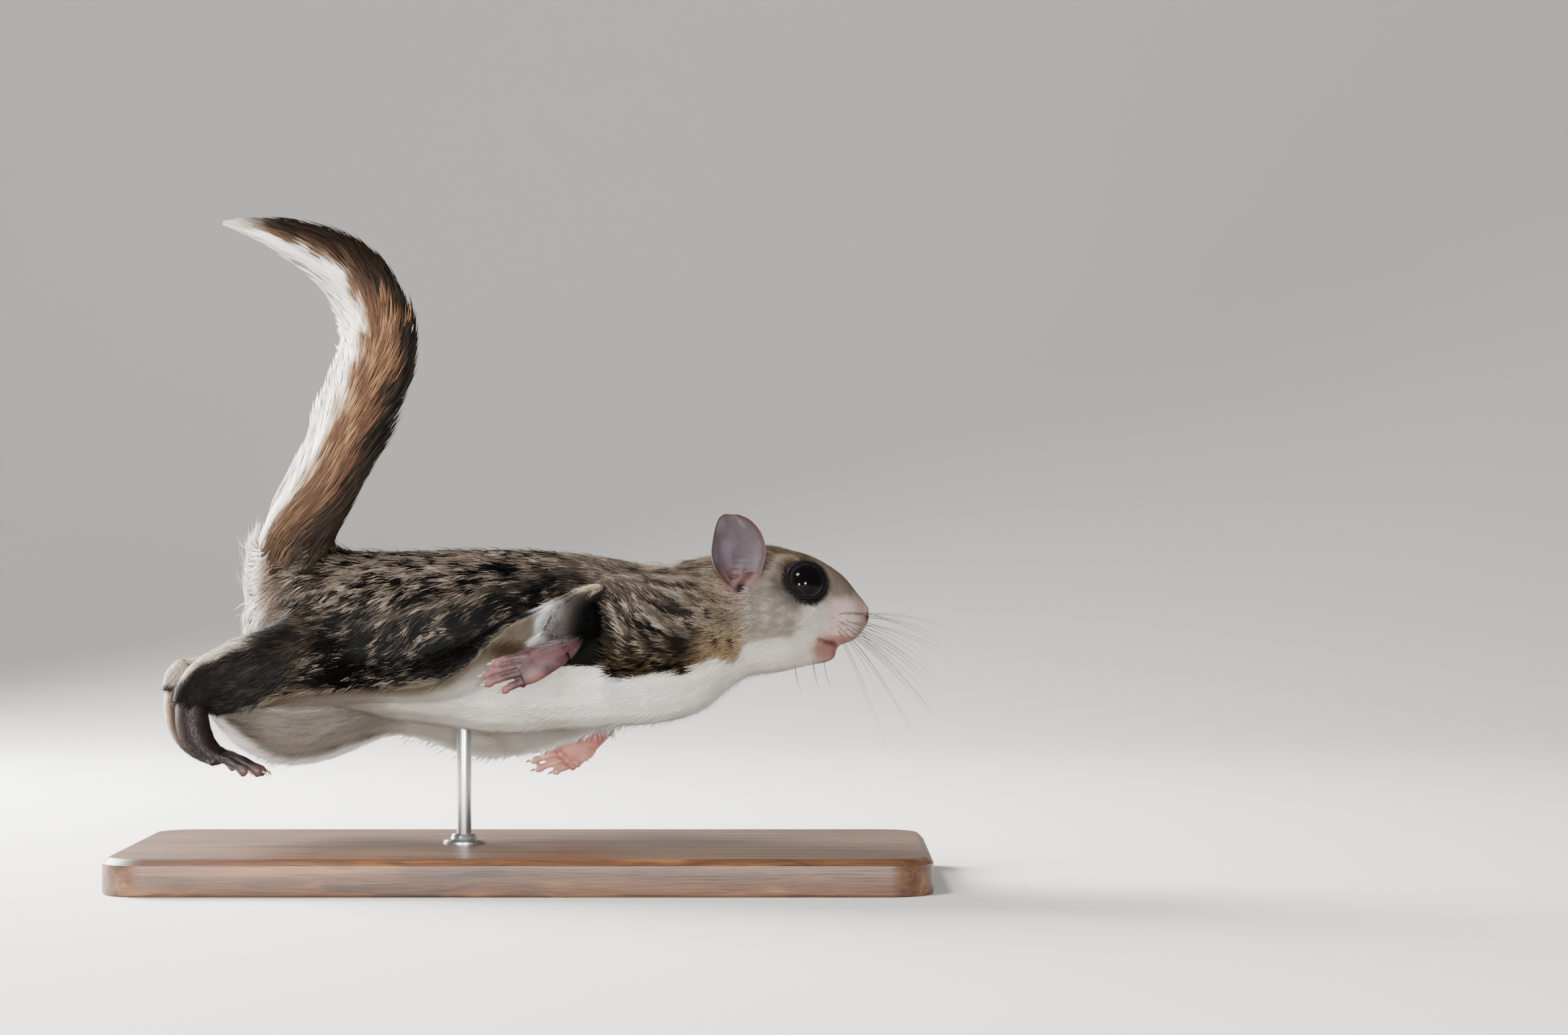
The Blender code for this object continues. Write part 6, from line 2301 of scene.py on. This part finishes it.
@dataclass
class Stand:
    """Display stand: a walnut board with a moulded edge, and a steel rod in a collar."""

    length: float = 176.0
    breadth: float = 86.0
    height: float = 8.0
    corner: float = 10.0  # radius seen from above
    cove: float = 1.4  # width of the moulding cut along the top edge
    bead: float = 0.5  # rounding of the moulding's own edges
    foot: float = 0.6  # rounding of the lower edge
    slack: float = 0.01  # mm allowed when edges are picked by height
    rod_radius: float = 1.6
    rod_x: float = -14.0
    rod_top: float = 34.0

    def build(self) -> None:
        """Builds and dresses the board, the rod and its collar."""
        present(self.board(), WalnutFinish().material(), Slot.WOOD, "stand_base")
        steel = SteelFinish().material()
        present(self.rod(), steel, Slot.STEEL, "stand_rod")
        present(self.collar(), steel, Slot.STEEL)

    def board(self) -> Piece:
        """The board, its corners rounded and its top edge moulded."""
        half = self.height / 2
        stretch = (self.length * MM, self.breadth * MM, self.height * MM)
        cube = bpy.ops.mesh.primitive_cube_add
        board = primitive(cube, "walnut_base", (0, 0, half), stretch, size=1)
        self.bevel_edges(board, lambda a, b: abs(a.z - b.z) > half * MM, self.corner, 12)
        top = (self.height - self.slack) * MM
        for width, steps in ((self.cove, 1), (self.bead, 4)):
            self.bevel_edges(board, lambda a, b: min(a.z, b.z) > top, width, steps)
        self.bevel_edges(board, lambda a, b: max(a.z, b.z) < self.slack * MM, self.foot, 3)
        smooth_shaded(board, 35)
        return board

    @staticmethod
    def bevel_edges(
        obj: Piece, wanted: Callable[[Vector, Vector], bool], offset: float, segments: int
    ) -> None:
        """Bevels the edges that a test picks by their two ends.

        Args:
            obj: The piece.
            wanted: The test.
            offset: Width of the bevel in mm.
            segments: Steps across it.
        """
        select_only(obj)
        bpy.ops.object.mode_set(mode="EDIT")
        bpy.ops.mesh.select_mode(type="EDGE")
        bpy.ops.mesh.select_all(action="DESELECT")
        bpy.ops.object.mode_set(mode="OBJECT")
        for edge in obj.data.edges:
            a, b = (obj.data.vertices[i].co for i in edge.vertices)
            edge.select = wanted(a, b)
        bpy.ops.object.mode_set(mode="EDIT")
        bpy.ops.mesh.bevel(
            offset=offset * MM, segments=segments, affect="EDGES", clamp_overlap=True
        )
        bpy.ops.object.mode_set(mode="OBJECT")

    def rod(self) -> Piece:
        """The upright rod, from the board up into the coat of the belly."""
        tall = self.rod_top - self.height
        middle = (self.rod_x, 0, self.height + tall / 2)
        rod = primitive(
            bpy.ops.mesh.primitive_cylinder_add, "steel_rod", middle, vertices=48,
            radius=self.rod_radius * MM, depth=tall * MM,
        )
        apply_modifier(rod, "BEVEL", width=0.25 * MM, segments=3, limit_method="ANGLE")
        smooth_shaded(rod, 40)
        return rod

    def collar(self) -> Piece:
        """A low turned collar that hides where the rod enters the board."""
        profile = (
            (self.rod_radius, 0.0), (4.6, 0.0), (4.6, 0.5), (4.2, 0.9), (3.0, 1.1),
            (2.7, 1.9), (2.4, 2.2), (self.rod_radius, 2.2),
        )
        east, north = np.array([1.0, 0, 0]), np.array([0, 1.0, 0])
        collar = loft("steel_collar", [
            oval(np.array([self.rod_x, 0, self.height + z]), east, north, radius, radius, 64)
            for radius, z in profile
        ])
        smooth_shaded(collar, 30)
        return collar


@dataclass(frozen=True)
class Lamp:
    """A round soft lamp: its middle and width in mm, its power in watts and its colour."""

    name: str
    place: Place
    size: float
    power: float
    colour: str = "#ffffff"


@dataclass
class Studio:
    """Pale sweep, soft lamps and the camera at the photograph's angle."""

    camera_place: Place = (56.3, -900.0, 79.6)
    lens: float = 94.0
    sensor: float = 36.0
    sweep_front: float = -6000.0
    sweep_back: float = 520.0
    sweep_round: float = 900.0  # radius of the curve from floor to wall
    sweep_half: float = 6000.0
    sweep_top: float = 2200.0
    steps: int = 24  # in the curve
    world: str = "#d5d8dc"
    world_light: float = 0.42
    lamp_aim: Place = (5.0, 0.0, 62.0)
    lamp_spread: float = 150.0  # degrees; a little narrowed, so that the floor's pools are soft

    def build(self) -> None:
        """Builds the sweep, the lamps and the camera."""
        self.sweep()
        self.lamps()
        self.camera()

    def sweep(self) -> None:
        """A pale paper sweep: floor, a wide curve and a back wall in one."""
        line = [(self.sweep_front, 0.0)]
        for angle in np.linspace(0, math.pi / 2, self.steps + 1):
            y = self.sweep_back + self.sweep_round * math.sin(angle)
            line.append((y, self.sweep_round * (1 - math.cos(angle))))
        line.append((self.sweep_back + self.sweep_round, self.sweep_top))
        points = [(x, y, z) for y, z in line for x in (-self.sweep_half, self.sweep_half)]
        faces = [(k, k + 1, k + 3, k + 2) for k in range(0, 2 * len(line) - 2, 2)]
        mesh = bpy.data.meshes.new("paper_sweep")
        mesh.from_pydata([Vector(p) * MM for p in points], [], faces)
        paper = linked("paper_sweep", mesh)
        smooth_shaded(paper)
        paper.data.materials.append(PaperFinish().material())

    def lamps(self) -> None:
        """Three lamps in front, each a catch light in the eye, and one behind for the rim."""
        world = bpy.data.worlds.new("studio")
        bpy.context.scene.world = world
        world.use_nodes = True
        background = world.node_tree.nodes["Background"]
        background.inputs["Color"].default_value = (*linear(self.world), 1)
        background.inputs["Strength"].default_value = self.world_light
        x, y, z = eye_centre(Side.RIGHT)
        for lamp in (
            Lamp("key", (x - 441.0, y - 414.0, z + 666.0), 230.0, 5.8, "#fff9f0"),
            Lamp("front", (x + 90.0, y - 890.0, z + 70.0), 170.0, 6.2),
            Lamp("low", (x - 290.0, y - 600.0, z - 4.0), 100.0, 2.1),
            Lamp("rim", (-480.0, 330.0, 330.0), 420.0, 22.0),
        ):
            self.hang(lamp)

    def hang(self, lamp: Lamp) -> None:
        """Hangs one lamp, aimed at the body.

        Args:
            lamp: The lamp.
        """
        light = bpy.data.lights.new(lamp.name, "AREA")
        light.shape, light.size, light.energy = "DISK", lamp.size * MM, lamp.power
        light.spread = math.radians(self.lamp_spread)
        light.color = linear(lamp.colour)
        obj = linked(lamp.name, light)
        place = Vector(lamp.place)
        obj.location = place * MM
        obj.rotation_euler = (Vector(self.lamp_aim) - place).to_track_quat("-Z", "Y").to_euler()
        obj.visible_camera = False

    def camera(self) -> None:
        """The camera, level, looking along +Y."""
        data = bpy.data.cameras.new("photograph")
        data.lens, data.sensor_width = self.lens, self.sensor
        data.clip_start, data.clip_end = 0.01, 20.0
        obj = linked("photograph", data)
        obj.location = Vector(self.camera_place) * MM
        obj.rotation_euler = (math.pi / 2, 0, 0)
        bpy.context.scene.camera = obj


def main() -> None:
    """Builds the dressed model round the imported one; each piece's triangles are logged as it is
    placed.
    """
    logging.basicConfig(level=logging.INFO, format="%(message)s")
    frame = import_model()
    rng = np.random.default_rng(SEED)
    Flesh(Markings(), Lie()).build(frame["nodes"], rng)
    Tail().build(rng)
    Eyes().build()
    Ears().build()
    Paws().build(rng)
    Whiskers().build(rng)
    Stand().build()
    Studio().build()


if __name__ == "__main__":
    main()
